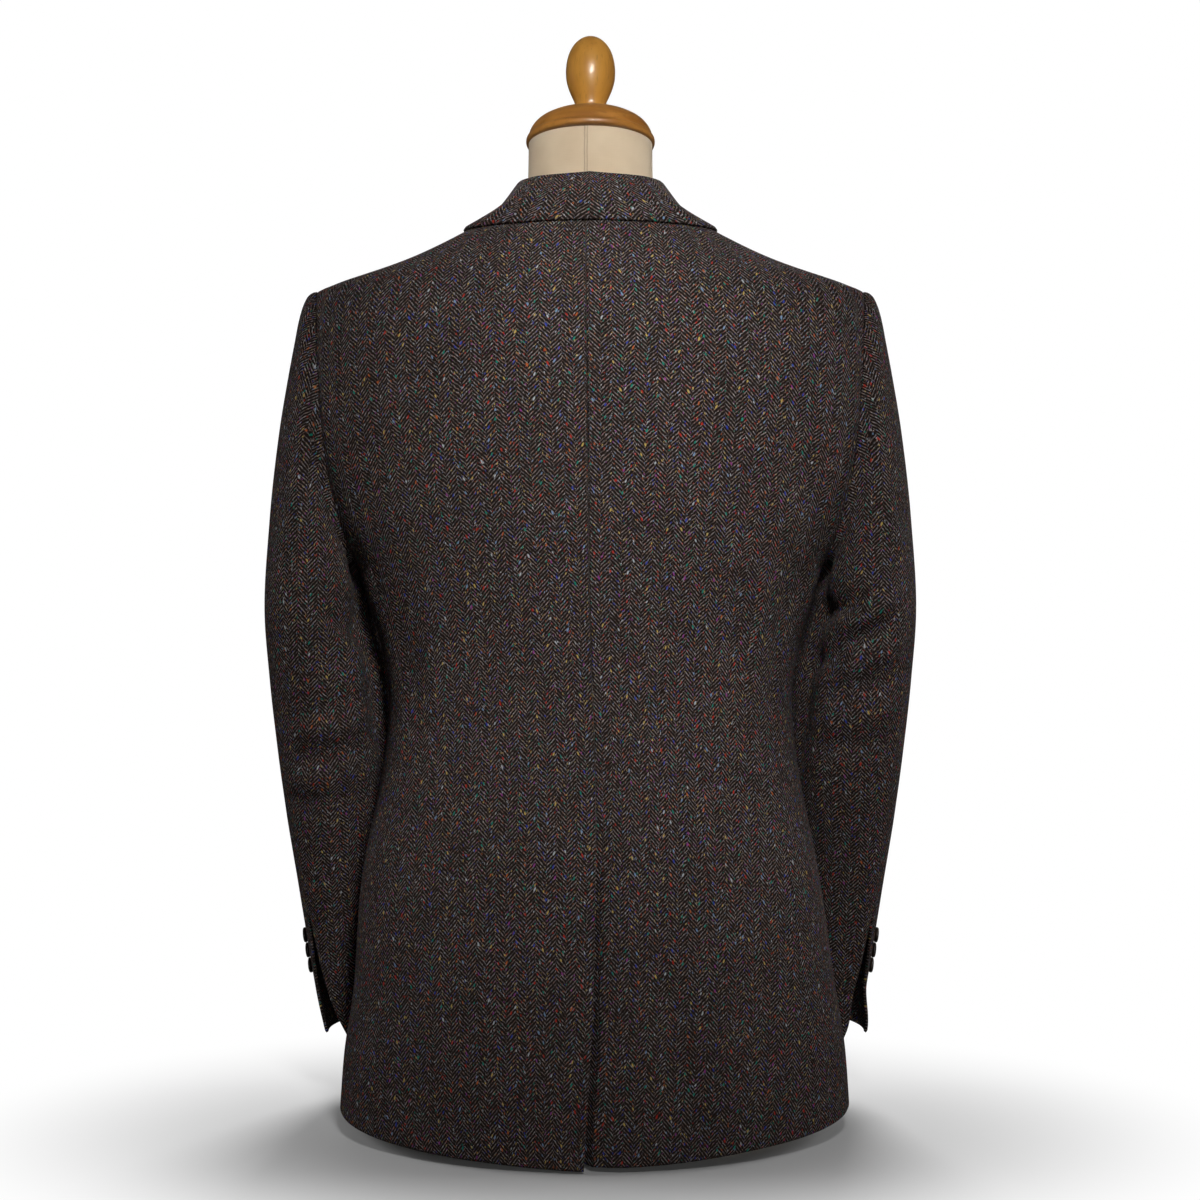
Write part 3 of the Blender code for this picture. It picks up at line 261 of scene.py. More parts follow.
def bisect(function: Callable[[Array], Array], low: Numbers, high: Numbers) -> Array:
    """Where a function that rises from below zero crosses it, for many intervals at once.

    Args:
        function: takes an array of trial values.
        low: lower ends.
        high: upper ends.

    Returns:
        The crossings.
    """
    low = np.array(low, dtype=float)
    high = np.array(high, dtype=float)
    for _ in range(HALVINGS):
        middle = 0.5 * (low + high)
        below = function(middle) < 0.0
        low = np.where(below, middle, low)
        high = np.where(below, high, middle)
    return 0.5 * (low + high)


def running_length(points: Array, axis: int) -> Array:
    """How far along an axis of a grid its points lie.

    Args:
        points: the grid.
        axis: 0 to go from row to row, 1 from column to column.

    Returns:
        The distances, from 0 at the first row or column.
    """
    steps = np.linalg.norm(np.diff(points, axis=axis), axis=-1)
    zero = np.zeros_like(np.take(steps, [0], axis=axis))
    return np.concatenate((zero, np.cumsum(steps, axis=axis)), axis=axis)


def cell_size(steps: Array, axis: int) -> Array:
    """How much of a grid's axis each point takes up, from the steps between the points.

    Args:
        steps: their lengths.
        axis: the one they run along.

    Returns:
        Half of the two steps that meet at each point.
    """
    first, last = np.take(steps, [0], axis), np.take(steps, [-1], axis)
    return 0.5 * (np.concatenate((steps, last), axis) + np.concatenate((first, steps), axis))


FLATTENING_ROUNDS = 420


def flattened(down_step: Array, along_step: Array, down_weight: Array, along_weight: Array) -> Array:
    """A value at each point of a grid whose steps are as near as can be to the ones that are given.

    Args:
        down_step: the wanted differences between rows.
        along_step: the wanted differences between columns.
        down_weight: how much each of the first counts.
        along_weight: how much each of the second counts.

    Returns:
        The values, from a search by conjugate gradients.
    """

    def gathered(down: Array, along: Array) -> Array:
        """Sum the steps at each point, those that end there less those that start there.

        Args:
            down: a value for each step between rows.
            along: a value for each step between columns.

        Returns:
            The sums.
        """
        total = np.zeros((down.shape[0] + 1, down.shape[1]))
        total[1:] += down
        total[:-1] -= down
        total[:, 1:] += along
        total[:, :-1] -= along
        return total

    def applied(values: Array) -> Array:
        """The left side of the equations."""
        return gathered(np.diff(values, axis=0) * down_weight, np.diff(values, axis=1) * along_weight)

    scale = np.zeros((down_step.shape[0] + 1, down_step.shape[1]))
    scale[1:] += down_weight
    scale[:-1] += down_weight
    scale[:, 1:] += along_weight
    scale[:, :-1] += along_weight
    first = np.concatenate((np.zeros((1, 1)), np.cumsum(down_step[:, :1], axis=0)))
    values = np.concatenate((first, first + np.cumsum(along_step, axis=1)), axis=1)
    left = gathered(down_step * down_weight, along_step * along_weight) - applied(values)
    search = left / scale
    size = np.sum(left * search)
    for _ in range(FLATTENING_ROUNDS):
        image = applied(search)
        step = size / max(np.sum(search * image), 1e-30)
        values = values + step * search
        left = left - step * image
        scaled = left / scale
        before, size = size, np.sum(left * scaled)
        search = scaled + search * (size / max(before, 1e-30))
    return values


EDGE_STEPS = (0.0008, 0.0018, 0.0032)  # grid lines this far from a border


def spread(length: float, step: float) -> Array:
    """Shares of a length from 0 to 1, close together near both ends.

    Args:
        length: the length in metres.
        step: the distance between the lines away from the ends.

    Returns:
        The rising shares.
    """
    ends = np.array([edge for edge in EDGE_STEPS if edge < 0.25 * length]) / length
    inner = np.linspace(ends[-1], 1.0 - ends[-1], max(3, round(length / step)))
    return np.concatenate(((0.0,), ends[:-1], inner, 1.0 - ends[:-1][::-1], (1.0,)))


# --- the torso's surface -------------------------------------------------------------------------


class Torso:
    """A surface through a stack of rings, by an angle round the body and a level."""

    def __init__(self, rings: Sequence[Sequence[float]]) -> None:
        """Fit a track through the rings.

        Args:
            rings: rows of ten numbers, from the bottom up.
        """
        table = np.array(rings)
        self.track = Track(table[:, 0], table[:, 1:])

    def point(self, angle: Numbers, level: Numbers) -> Array:
        """Points of the surface.

        Args:
            angle: in degrees; 0 is the centre back and 90 the left side.
            level: of the ring.

        Returns:
            The points.
        """
        angle, level = np.broadcast_arrays(np.asarray(angle, float), np.asarray(level, float))
        columns = np.moveaxis(self.track.at(level), -1, 0)
        z_back, z_side, z_front, half_width, back, front, power_back, power_front, tilt = columns
        sideways = np.sin(np.radians(angle))
        backwards = np.cos(np.radians(angle))
        behind = backwards >= 0.0
        power = np.where(behind, power_back, power_front)
        lean = np.abs(backwards) ** (2.0 / power)
        x = half_width * np.copysign(np.abs(sideways) ** (2.0 / power), sideways)
        y = np.where(behind, back, -front) * lean
        z = z_side + (np.where(behind, z_back, z_front) - z_side) * lean**tilt
        return np.stack((x, y, z), axis=-1)

    def normal(self, angle: Numbers, level: Numbers) -> Array:
        """Outward unit normals.

        Args:
            angle: as for a point.
            level: as for a point.

        Returns:
            The normals.
        """
        turn = 0.4
        climb = 0.0008
        level = np.asarray(level, float)
        below = np.maximum(level - climb, self.track.knots[0])
        above = np.minimum(level + climb, self.track.knots[-1])
        around = self.point(angle + turn, level) - self.point(angle - turn, level)
        upwards = self.point(angle, above) - self.point(angle, below)
        return unit(np.cross(upwards, around))

    def angle_at_x(self, x: Numbers, level: Numbers, in_front: bool) -> Array:
        """The angles where the rings have this x.

        Args:
            x: in metres.
            level: of the rings.
            in_front: on the front half, not the back one.

        Returns:
            The angles.
        """
        ring = self.track.at(level)
        power = ring[..., 7 if in_front else 6]
        sine = np.minimum(np.abs(x) / ring[..., 3], 1.0) ** (power / 2.0)
        angle = np.copysign(np.degrees(np.arcsin(sine)), x)
        return 180.0 - angle if in_front else angle

    def angle_at_y(self, y: Numbers, level: Numbers) -> Array:
        """The angles, on the +X side, where the rings have this y.

        Args:
            y: in metres.
            level: of the rings.

        Returns:
            The angles.
        """
        ring = self.track.at(level)
        behind = np.asarray(y) >= 0.0
        reach = np.where(behind, ring[..., 4], ring[..., 5])
        power = np.where(behind, ring[..., 6], ring[..., 7])
        angle = np.degrees(np.arccos(np.minimum(np.abs(y) / reach, 1.0) ** (power / 2.0)))
        return np.where(behind, angle, 180.0 - angle)

    def spot_at_side(self, y: Array, z: Array) -> tuple[Array, Array]:
        """Find the points seen at a place from the +X side.

        Args:
            y: the place's depth.
            z: its height.

        Returns:
            The angles and the levels.
        """
        y, z = np.broadcast_arrays(np.asarray(y, float), np.asarray(z, float))
        low = np.full(z.shape, 0.42)
        high = np.full(z.shape, SHOULDER_TIP + 0.002)
        level = bisect(lambda at: self.point(self.angle_at_y(y, at), at)[..., 2] - z, low, high)
        return self.angle_at_y(y, level), level

    def spot_in_front(self, x: Numbers, z: Numbers) -> tuple[Array, Array]:
        """Find the points seen at a place from the front.

        Args:
            x: how far the place lies to the left.
            z: its height.

        Returns:
            The angles and the levels.
        """
        x, z = np.broadcast_arrays(np.asarray(x, float), np.asarray(z, float))
        low = np.full(z.shape, HEM)
        high = np.full(z.shape, NECK_SEAM)
        level = bisect(lambda at: self.point(self.angle_at_x(x, at, True), at)[..., 2] - z, low, high)
        return self.angle_at_x(x, level, True), level


JACKET = Torso(JACKET_RINGS)
FORM = Torso(FORM_RINGS)


def armhole_spot(turn: Numbers) -> tuple[Array, Array]:
    """Find points on the armhole.

    Args:
        turn: in degrees from its top through the back.

    Returns:
        Their angles and levels on the torso.
    """
    y = ARMHOLE_REACH * np.sin(np.radians(turn))
    z = ARMHOLE_HEIGHT + ARMHOLE_RISE * np.cos(np.radians(turn))
    return JACKET.spot_at_side(y, z)


def seam_angle(table: Sequence[Pair], turn: float, level: Array) -> Array:
    """The angle of a side seam: its table, then up to a place on the armhole.

    Args:
        table: levels and angles.
        turn: that place on the armhole.
        level: where the angle is wanted.

    Returns:
        The angles.
    """
    top_angle, top_level = armhole_spot(turn)
    knots = [row[0] for row in table] + [float(top_level)]
    angles = [row[1] for row in table] + [float(top_angle)]
    return Track(knots, angles).at(level)


def front_edge_x(z: Array) -> Array:
    """The x of the left front's edge: the quarter, the straight edge, then the break line.

    Args:
        z: heights.

    Returns:
        The x at each.
    """
    lower = -FRONT_LAP + CUTAWAY * (1.0 - ease(z, HEM, LAST_BUTTON))
    rise = np.clip((z - HEM_FRONT) / QUARTER_RADIUS, 0.0, 1.0)
    lower = lower + QUARTER_RADIUS * (1.0 - np.sqrt(1.0 - (1.0 - rise) ** 2))
    upper = -FRONT_LAP + (z - BREAK_HEIGHT) * BREAK_SLOPE
    return np.where(z >= BREAK_HEIGHT, upper, lower)


def front_edge_angle(level: Array) -> Array:
    """The angles where the front's edge crosses the rings.

    Args:
        level: of each ring.

    Returns:
        The angles.
    """

    def past(angle: Array) -> Array:
        """How far each ring's point lies past the edge."""
        point = JACKET.point(angle, level)
        return front_edge_x(point[..., 2]) - point[..., 0]

    return bisect(past, np.full(level.shape, 92.0), np.full(level.shape, 200.0))


def under_drop(x: Array, z: Array) -> Array:
    """How far the right front lies below the left one.

    Args:
        x: of its own points, counted outwards from the centre.
        z: their heights.

    Returns:
        The depths.
    """
    lap = 1.0 - ease(x, FRONT_LAP + 0.003, FRONT_LAP + 0.065)
    depth = LAP_DROP + LAPEL_TUCK * ease(z, 0.35, 0.43)
    return depth * lap * (1.0 - ease(z, 0.505, 0.63))


def swayed(points: Array) -> Array:
    """Swing the skirt sideways below the waist, and hitch its right side up.

    Args:
        points: of the jacket.

    Returns:
        The new points.
    """
    right_side = ease(-points[..., 0], 0.020, 0.150)
    fall = 1.0 - ease(points[..., 2], 0.090, SWAY_START)
    shift = np.stack((SKIRT_SWAY * fall, np.zeros_like(fall), SKIRT_HITCH * fall * right_side), axis=-1)
    return points + shift


# --- creases and cloth ---------------------------------------------------------------------------


@dataclass(frozen=True)
class Crease:
    """A soft ridge, or a trough where its height is below 0, along a bowed line.

    Its ends are in the panel's own map: across and up, in metres.
    """

    start: Pair
    end: Pair
    height: float
    width: float
    bow: float = 0.0

    def rise(self, across: Array, up: Array) -> Array:
        """How far the crease lifts the cloth.

        Args:
            across: of each spot on the map.
            up: of each spot on the map.

        Returns:
            The lifts.
        """
        run = np.subtract(self.end, self.start)
        length = float(np.hypot(*run))
        run = run / length
        along = ((across - self.start[0]) * run[0] + (up - self.start[1]) * run[1]) / length
        aside = (across - self.start[0]) * run[1] - (up - self.start[1]) * run[0]
        aside = aside - self.bow * 4.0 * np.clip(along, 0.0, 1.0) * (1.0 - np.clip(along, 0.0, 1.0))
        taper = ease(along, -0.22, 0.30) * (1.0 - ease(along, 0.70, 1.22))
        return self.height * hump(aside, 0.0, self.width) * taper


def creases(*rows: tuple[float, ...]) -> tuple[Crease, ...]:
    """Creases from rows of start, end, height, width and bow."""
    return tuple(Crease(row[:2], row[2:4], *row[4:]) for row in rows)


def linked(name: str, data: bpy.types.ID) -> bpy.types.Object:
    """Put a new object with some data into the scene.

    Args:
        name: of the object.
        data: its mesh, light or camera.

    Returns:
        The object.
    """
    made = bpy.data.objects.new(name, data)
    bpy.context.scene.collection.objects.link(made)
    return made


def mesh_data(name: str, mesh: BMesh) -> bpy.types.Mesh:
    """Turn a bmesh into mesh data, and free it.

    Args:
        name: of the data.
        mesh: what is turned.

    Returns:
        The data.
    """
    data = bpy.data.meshes.new(name)
    mesh.to_mesh(data)
    mesh.free()
    return data


class Border(Enum):
    """How the border of a cloth piece is finished: how deep it turns down, over what width, and its gap."""

    SEAM = (0.0005, 0.0011, 0.00010)
    SEWN = (0.0005, 0.0011, 0.0)
    SOFT = (0.0002, 0.0010, 0.00002)
    HEM = (0.0011, 0.0013, 0.0)
    NONE = (0.0, 1.0, 0.0)


@dataclass
class Cloth:
    """A cloth piece as a grid: rows run from the first border to the last one, columns across them."""

    name: str
    points: Array
    borders: tuple[Border, Border, Border, Border]  # first row, last row, first column, last column
    middle: Array | None = None  # a point inside the garment for each grid point, where not on its axis
    normals: Array = field(init=False)
    weave: Array = field(init=False)
    stretch: Array | float = 0.0  # added to the weave's lengthwise place when it is drawn

    def __post_init__(self) -> None:
        """Work out the normals."""
        self.find_normals()

    def find_normals(self) -> None:
        """Outward unit normals from the grid's own neighbours."""
        normals = unit(np.cross(np.gradient(self.points, axis=0), np.gradient(self.points, axis=1)))
        middle = self.points * UP if self.middle is None else self.middle
        self.normals = normals * np.sign(np.sum(dot(normals, self.points - middle)))

    def lay_weave(self, grain: Array, column: int | None = None, place: Numbers = 0.0) -> None:
        """Give each point its place in the flat cloth, in metres, as near to its true size as can be.

        Args:
            grain: the direction of the warp at each point, roughly.
            column: a column whose place across the cloth is known, if any.
            place: that place for each row.
        """
        normals = self.normals
        warp = unit(grain - normals * dot(grain, normals)[..., None])
        weft = np.cross(warp, normals)
        down = np.diff(self.points, axis=0)
        along = np.diff(self.points, axis=1)
        down_size = np.maximum(np.linalg.norm(down, axis=-1), 1e-5)
        along_size = np.maximum(np.linalg.norm(along, axis=-1), 1e-5)
        height = cell_size(down_size, 0)
        width = cell_size(along_size, 1)
        along_weight = np.clip(0.5 * (height[:, 1:] + height[:, :-1]) / along_size, *WEIGHT_RANGE)
        down_weight = np.clip(0.5 * (width[1:] + width[:-1]) / down_size, *WEIGHT_RANGE)
        places = []
        for thread in (weft, warp):
            down_step = dot(down, unit(thread[1:] + thread[:-1]))
            along_step = dot(along, unit(thread[:, 1:] + thread[:, :-1]))
            weight = down_weight.copy()
            if column is not None and thread is weft:
                down_step[:, column] = np.diff(place + np.zeros(len(down) + 1))
                weight[:, column] = HELD_WEIGHT
            flat = flattened(down_step, along_step, weight, along_weight)
            if column is not None and thread is weft:
                flat = flat - np.mean(flat[:, column] - place)
            places.append(flat)
        self.weave = np.stack(places, axis=-1)

    def lift(self, heights: Array) -> None:
        """Move the points out along the normals."""
        self.points = self.points + self.normals * heights[..., None]

    def turn_borders(self) -> None:
        """Turn each border down, as a seam or a pressed edge does."""
        down = running_length(self.points, 0)
        across = running_length(self.points, 1)
        distances = (down, down[-1:] - down, across, across[:, -1:] - across)
        turned = np.zeros(down.shape)
        for border, distance in zip(self.borders, distances):
            depth, width, _ = border.value
            turned = np.maximum(turned, depth * np.exp(-((distance / width) ** 2)))
        self.lift(-turned)

    def trim(self) -> None:
        """Pull the borders in from their seams."""
        points = self.points
        inwards = (
            unit(points[1] - points[0]),
            unit(points[-2] - points[-1]),
            unit(points[:, 1] - points[:, 0]),
            unit(points[:, -2] - points[:, -1]),
        )
        lines = (points[0], points[-1], points[:, 0], points[:, -1])
        for border, line, inward in zip(self.borders, lines, inwards):
            line += inward * border.value[2]

    def settle(self, lift: Numbers, side: float = 1.0, sways: bool = False) -> "Cloth":
        """Lift a left or middle piece off its surface, finish its borders and bring it to its place.

        Args:
            lift: how far each point goes out.
            side: -1 mirrors it to the wearer's right.
            sways: it swings with the skirt.

        Returns:
            The same piece.
        """
        self.lift(lift + np.zeros(self.points.shape[:2]))
        self.turn_borders()
        self.trim()
        mirror = np.array((side, 1.0, 1.0))
        points = self.points * mirror
        self.points = (swayed(points) if sways else points) + DEPTH_SHIFT
        if self.middle is not None:
            self.middle = self.middle * mirror + DEPTH_SHIFT
        self.find_normals()
        return self

    def cut(self) -> Triple:
        """Measure the flat piece on its weave map.

        Returns:
            Its width, length and area.
        """
        width, length = np.ptp(self.weave.reshape(-1, 2), axis=0)
        down = self.weave[1:] - self.weave[:-1]
        across = self.weave[:, 1:] - self.weave[:, :-1]
        cells = down[:, :-1, 0] * across[:-1, :, 1] - down[:, :-1, 1] * across[:-1, :, 0]
        return float(width), float(length), float(np.sum(np.abs(cells)))

    def build(self, finish: Material, thickness: float = CLOTH) -> bpy.types.Object:
        """Make the piece: a grid laid on the points, given its wall by a modifier.

        Args:
            finish: its material.
            thickness: of the wall, laid inwards.

        Returns:
            The new object.
        """
        rows, columns = self.points.shape[:2]
        grid = bmesh.new()
        bmesh.ops.create_grid(grid, x_segments=columns - 1, y_segments=rows - 1, size=0.5)
        corner = (self.points[1, 0] - self.points[0, 0], self.points[0, 1] - self.points[0, 0])
        if np.dot(np.cross(corner[1], corner[0]), self.normals[0, 0]) < 0.0:
            bmesh.ops.reverse_faces(grid, faces=grid.faces[:])
        data = mesh_data(self.name, grid)
        flat = np.zeros(rows * columns * 3)
        data.vertices.foreach_get("co", flat)
        flat = flat.reshape(-1, 3)
        column = np.rint((flat[:, 0] + 0.5) * (columns - 1)).astype(int)
        row = np.rint((flat[:, 1] + 0.5) * (rows - 1)).astype(int)
        data.vertices.foreach_set("co", self.points[row, column].ravel())
        corners = np.zeros(len(data.loops), dtype=np.int32)
        data.loops.foreach_get("vertex_index", corners)
        layer = data.uv_layers.new(name=WEAVE_MAP)
        drawn = self.weave.copy()
        drawn[..., 1] += self.stretch
        layer.data.foreach_set("uv", drawn[row, column][corners].ravel())
        data.update()
        data.shade_smooth()
        piece = linked(self.name, data)
        wall = piece.modifiers.new("wall", "SOLIDIFY")
        wall.thickness = thickness
        wall.offset = -1.0
        data.materials.append(finish)
        return piece


WEAVE_MAP = "weave"
WEIGHT_RANGE = (0.02, 50.0)  # of a step when a piece is laid flat
HELD_WEIGHT = 400.0  # of a step on the column whose place is known
WEAVE_REPEAT = (0.0160, 0.0033)  # the herringbone repeats after this, across and along
REPEATS_APART = (37, 331)  # from one piece to the next, so that no two show the same neps
PIECE_NUMBER = iter(range(100))


def hand_over(cloth: Cloth, finish: Material) -> bpy.types.Object:
    """Args:
        cloth: the grid, in its place.
        finish: its material.

    Returns:
        The new object.
    """
    width, length, area = cloth.cut()
    number = next(PIECE_NUMBER)
    cloth.weave = cloth.weave + np.multiply(WEAVE_REPEAT, REPEATS_APART) * number
    piece = cloth.build(finish)
    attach(piece, "root")
    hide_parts(cloth.name)
    piece.name = cloth.name
    LOG.info("%s: cut %.3f x %.3f m, %.4f square metres", cloth.name, width, length, area)
    return piece


# --- shader expressions --------------------------------------------------------------------------


class Value:
    """A shader socket that takes part in Python expressions."""

    def __init__(self, shader: "Shader", socket: Socket) -> None:
        """Wrap a socket of a shader."""
        self.shader, self.socket = shader, socket

    def math(self, operation: str, *others: "Value | float") -> "Value":
        """A Math node with this value as its first input."""
        return self.shader.math(operation, self, *others)

    def __add__(self, other: "Value | float") -> "Value":
        """Sum."""
        return self.math("ADD", other)

    __radd__ = __add__

    def __sub__(self, other: "Value | float") -> "Value":
        """Difference."""
        return self.math("SUBTRACT", other)

    def __rsub__(self, other: float) -> "Value":
        """Difference from a number."""
        return self.shader.math("SUBTRACT", other, self)

    def __mul__(self, other: "Value | float") -> "Value":
        """Product."""
        return self.math("MULTIPLY", other)

    __rmul__ = __mul__

    def __truediv__(self, other: "Value | float") -> "Value":
        """Quotient."""
        return self.math("DIVIDE", other)

    def floor(self) -> "Value":
        """The whole number below."""
        return self.math("FLOOR")

    def size(self) -> "Value":
        """Without its sign."""
        return self.math("ABSOLUTE")

    def zigzag(self, height: float) -> "Value":
        """Up to a height and back to 0, again and again."""
        return self.math("PINGPONG", height)

    def step(self, low: "Value | float", high: "Value | float") -> "Value":
        """A soft step.

        Args:
            low: where it leaves 0.
            high: where it reaches 1.

        Returns:
            The step's height.
        """
        inputs = {0: self, 1: low, 2: high, 3: 0.0, 4: 1.0}
        node = self.shader.node("ShaderNodeMapRange", inputs, interpolation_type="SMOOTHSTEP")
        return Value(self.shader, node.outputs[0])


Input = Value | Socket | float | Sequence[float]
Inputs = Mapping[int | str, Input]


class Shader:
    """A material's node tree, with short ways to add to it."""

    def __init__(self, name: str) -> None:
        """Start a material with a Principled BSDF.

        Args:
            name: of the material.
        """
        self.material = bpy.data.materials.new(name)
        self.material.use_nodes = True
        self.tree = self.material.node_tree
        self.surface = self.tree.nodes["Principled BSDF"]

    def node(self, kind: str, inputs: Inputs | None = None, **settings: str) -> bpy.types.Node:
        """Add a node.

        Args:
            kind: its type.
            inputs: a value or a socket for each named or numbered input.
            settings: its properties, set first.

        Returns:
            The node.
        """
        node = self.tree.nodes.new(kind)
        for key, setting in settings.items():
            setattr(node, key, setting)
        self.feed(node, inputs or {})
        return node

    def feed(self, node: bpy.types.Node, inputs: Inputs) -> None:
        """Set or link the inputs of a node.

        Args:
            node: to feed.
            inputs: a value or a socket for each named or numbered input.
        """
        for key, entry in inputs.items():
            if isinstance(entry, Value):
                entry = entry.socket
            if isinstance(entry, Socket):
                self.tree.links.new(entry, node.inputs[key])
            else:
                node.inputs[key].default_value = entry

    def math(self, operation: str, *values: Value | float) -> Value:
        """A Math node."""
        node = self.node("ShaderNodeMath", dict(enumerate(values)), operation=operation)
        return Value(self, node.outputs[0])

    def mix(self, factor: Input, first: Input, second: Input, blend: str = "MIX") -> Socket:
        """Mix two colours.

        Args:
            factor: the share of the second.
            first: a colour.
            second: a colour.
            blend: how they mix.

        Returns:
            The new colour.
        """
        first = (*first, 1.0) if isinstance(first, tuple) else first
        second = (*second, 1.0) if isinstance(second, tuple) else second
        inputs = {0: factor, 6: first, 7: second}
        return self.node("ShaderNodeMix", inputs, data_type="RGBA", blend_type=blend).outputs[2]

    def here(self) -> Socket:
        """The place on the object, in metres."""
        return self.node("ShaderNodeTexCoord").outputs["Object"]

    def apart(self, vector: Input) -> tuple[Value, ...]:
        """The three numbers of a vector."""
        return tuple(Value(self, part) for part in self.node("ShaderNodeSeparateXYZ", {0: vector}).outputs)

    def together(self, x: Input, y: Input, z: Input = 0.0) -> Socket:
        """A vector from three numbers."""
        return self.node("ShaderNodeCombineXYZ", {0: x, 1: y, 2: z}).outputs[0]

    def noise(self, vector: Input, scale: float, detail: float = 2.0, dimensions: str = "3D") -> Value:
        """A noise from 0 to 1, about 0.5."""
        inputs = {"Vector": vector, "Scale": scale, "Detail": detail}
        return Value(self, self.node("ShaderNodeTexNoise", inputs, noise_dimensions=dimensions).outputs[0])

    def spots(self, vector: Input, scale: float) -> tuple[Value, Socket]:
        """Split a plane into random cells.

        Args:
            vector: the place on the plane.
            scale: how many cells there are to a metre.

        Returns:
            The distance from the nearest cell's point, and the cell's own colour.
        """
        inputs = {"Vector": vector, "Scale": scale}
        node = self.node("ShaderNodeTexVoronoi", inputs, voronoi_dimensions="2D", feature="F1")
        return Value(self, node.outputs["Distance"]), node.outputs["Color"]

    def pick(self, factor: Input, colours: Sequence[tuple[float, Colour]]) -> Socket:
        """Pick one of several colours.

        Args:
            factor: a number from 0 to 1.
            colours: each with the stop from which it is the one.

        Returns:
            The colour.
        """
        node = self.tree.nodes.new("ShaderNodeValToRGB")
        ramp = node.color_ramp
        ramp.interpolation = "CONSTANT"
        while len(ramp.elements) < len(colours):
            ramp.elements.new(1.0)
        for element, (stop, colour) in zip(ramp.elements, colours):
            element.position = stop
            element.color = (*colour, 1.0)
        self.feed(node, {0: factor})
        return node.outputs[0]

    def bump(self, height: Input, distance: float, strength: float = 1.0) -> Socket:
        """A normal from a height."""
        inputs = {"Height": height, "Distance": distance, "Strength": strength}
        return self.node("ShaderNodeBump", inputs).outputs[0]

    def finished(self, inputs: Inputs) -> Material:
        """Set the inputs of the surface, and hand the material over."""
        self.feed(self.surface, inputs)
        return self.material


class Dots(NamedTuple):
    """Random dots, one at most to each cell of a plane."""

    cell: float
    radius: float
    share: float  # of the cells that have one
    strength: float


@dataclass(frozen=True)
class Tweed:
    """Herringbone wool tweed with coloured neps, drawn on the weave map."""

    name: str
    band: float = 0.0080  # width of a stripe of parallel lines
    pitch: float = 0.0033  # from one line of a stripe to the next, along the warp
    slope: float = 1.05
    light: Colour = (0.284, 0.241, 0.219)
    dark: Colour = (0.0158, 0.0106, 0.0090)
    warm: Colour = (0.290, 0.140, 0.100)
    cool: Colour = (0.228, 0.205, 0.255)
    glint: Colour = (0.62, 0.58, 0.58)
    flecks: Dots = Dots(cell=0.0036, radius=0.00062, share=0.68, strength=0.6)
    neps: Dots = Dots(cell=0.0098, radius=0.00100, share=0.7, strength=0.85)
    waver: Pair = (60.0, 0.0010)  # how the lines stray: scale and reach
    jitter: Triple = (420.0, 0.0004, 0.0012)  # how they tremble: scale, and reach across and along
    hairs: Triple = (580.0, 0.36, 0.66)  # fibres: scale, and the step from none to all
    tint_scale: float = 300.0
    tint_share: float = 0.6
    glints: Triple = (820.0, 0.66, 0.78)
    mottle: Triple = (20.0, 0.30, 0.85)  # of the whole cloth: scale, range and least
    squeeze: float = 1.35  # of the dots, across
    relief: float = 0.00045

    NEPS = (
        (0.0, (0.55, 0.030, 0.018)),
        (0.17, (0.55, 0.13, 0.03)),
        (0.27, (0.62, 0.45, 0.11)),
        (0.41, (0.52, 0.58, 0.62)),
        (0.49, (0.030, 0.06, 0.46)),
        (0.64, (0.008, 0.27, 0.19)),
        (0.80, (0.32, 0.05, 0.30)),
        (0.89, (0.20, 0.34, 0.55)),
    )

    def material(self) -> Material:
        """Make the material.

        Returns:
            The material.
        """
        shader = Shader(self.name)
        mapped = shader.node("ShaderNodeUVMap", uv_map=WEAVE_MAP).outputs[0]
        across, up, _ = shader.apart(mapped)
        scale, reach = self.waver
        waver = (shader.noise(mapped, scale, 1.0, "2D") - 0.5) * reach
        scale, aside, along = self.jitter
        jitter = shader.noise(mapped, scale, 1.0, "2D") - 0.5
        across = across + waver + jitter * aside
        stripe = (across / self.band).floor()
        odd = stripe - (stripe * 0.5).floor() * 2.0
        slanted = up + across.zigzag(self.band) * self.slope + waver + jitter * along
        phase = slanted / self.pitch + odd * 0.5
        lines = (phase.zigzag(0.5) * 2.0).step(0.46, 0.96)
        strand = shader.together(across, slanted)
        short = shader.together(across * self.squeeze, slanted)
        scale, none, full = self.hairs
        hairs = shader.noise(strand, scale, 1.0, "2D").step(none, full)
        worn = lines * (hairs * 0.82 + 0.16)
        tints = shader.noise(strand, self.tint_scale, 1.0, "2D")
        wool = shader.mix(tints.step(0.53, 0.64) * self.tint_share, self.light, self.warm)
        wool = shader.mix((1.0 - tints.step(0.36, 0.46)) * self.tint_share, wool, self.cool)
        scale, none, full = self.glints
        glints = shader.noise(strand, scale, 0.0, "2D").step(none, full)
        wool = shader.mix(glints * 0.8, wool, self.glint)
        colour = shader.mix(worn, self.dark, wool)
        for dots in (self.flecks, self.neps):
            distance, own = shader.spots(short, 1.0 / dots.cell)
            first, second, third = shader.apart(own)
            edge = (second * 0.9 + 0.5) * (dots.radius / dots.cell)
            shown = (1.0 - distance.step(edge * 0.6, edge * 1.15)) * first.math("LESS_THAN", dots.share)
            colour = shader.mix(shown * dots.strength, colour, shader.pick(third, self.NEPS))
        scale, reach, least = self.mottle
        mottle = shader.noise(mapped, scale, 3.0, "2D") * reach + least
        colour = shader.mix(1.0, colour, shader.together(mottle, mottle, mottle), "MULTIPLY")
        return shader.finished({
            "Base Color": colour,
            "Roughness": 0.95,
            "Specular IOR Level": 0.06,
            "Sheen Weight": 0.02,
            "Sheen Roughness": 0.5,
            "Normal": shader.bump(lines * 0.6 + hairs * 0.4 + shown * 0.6, self.relief, 0.6),
        })


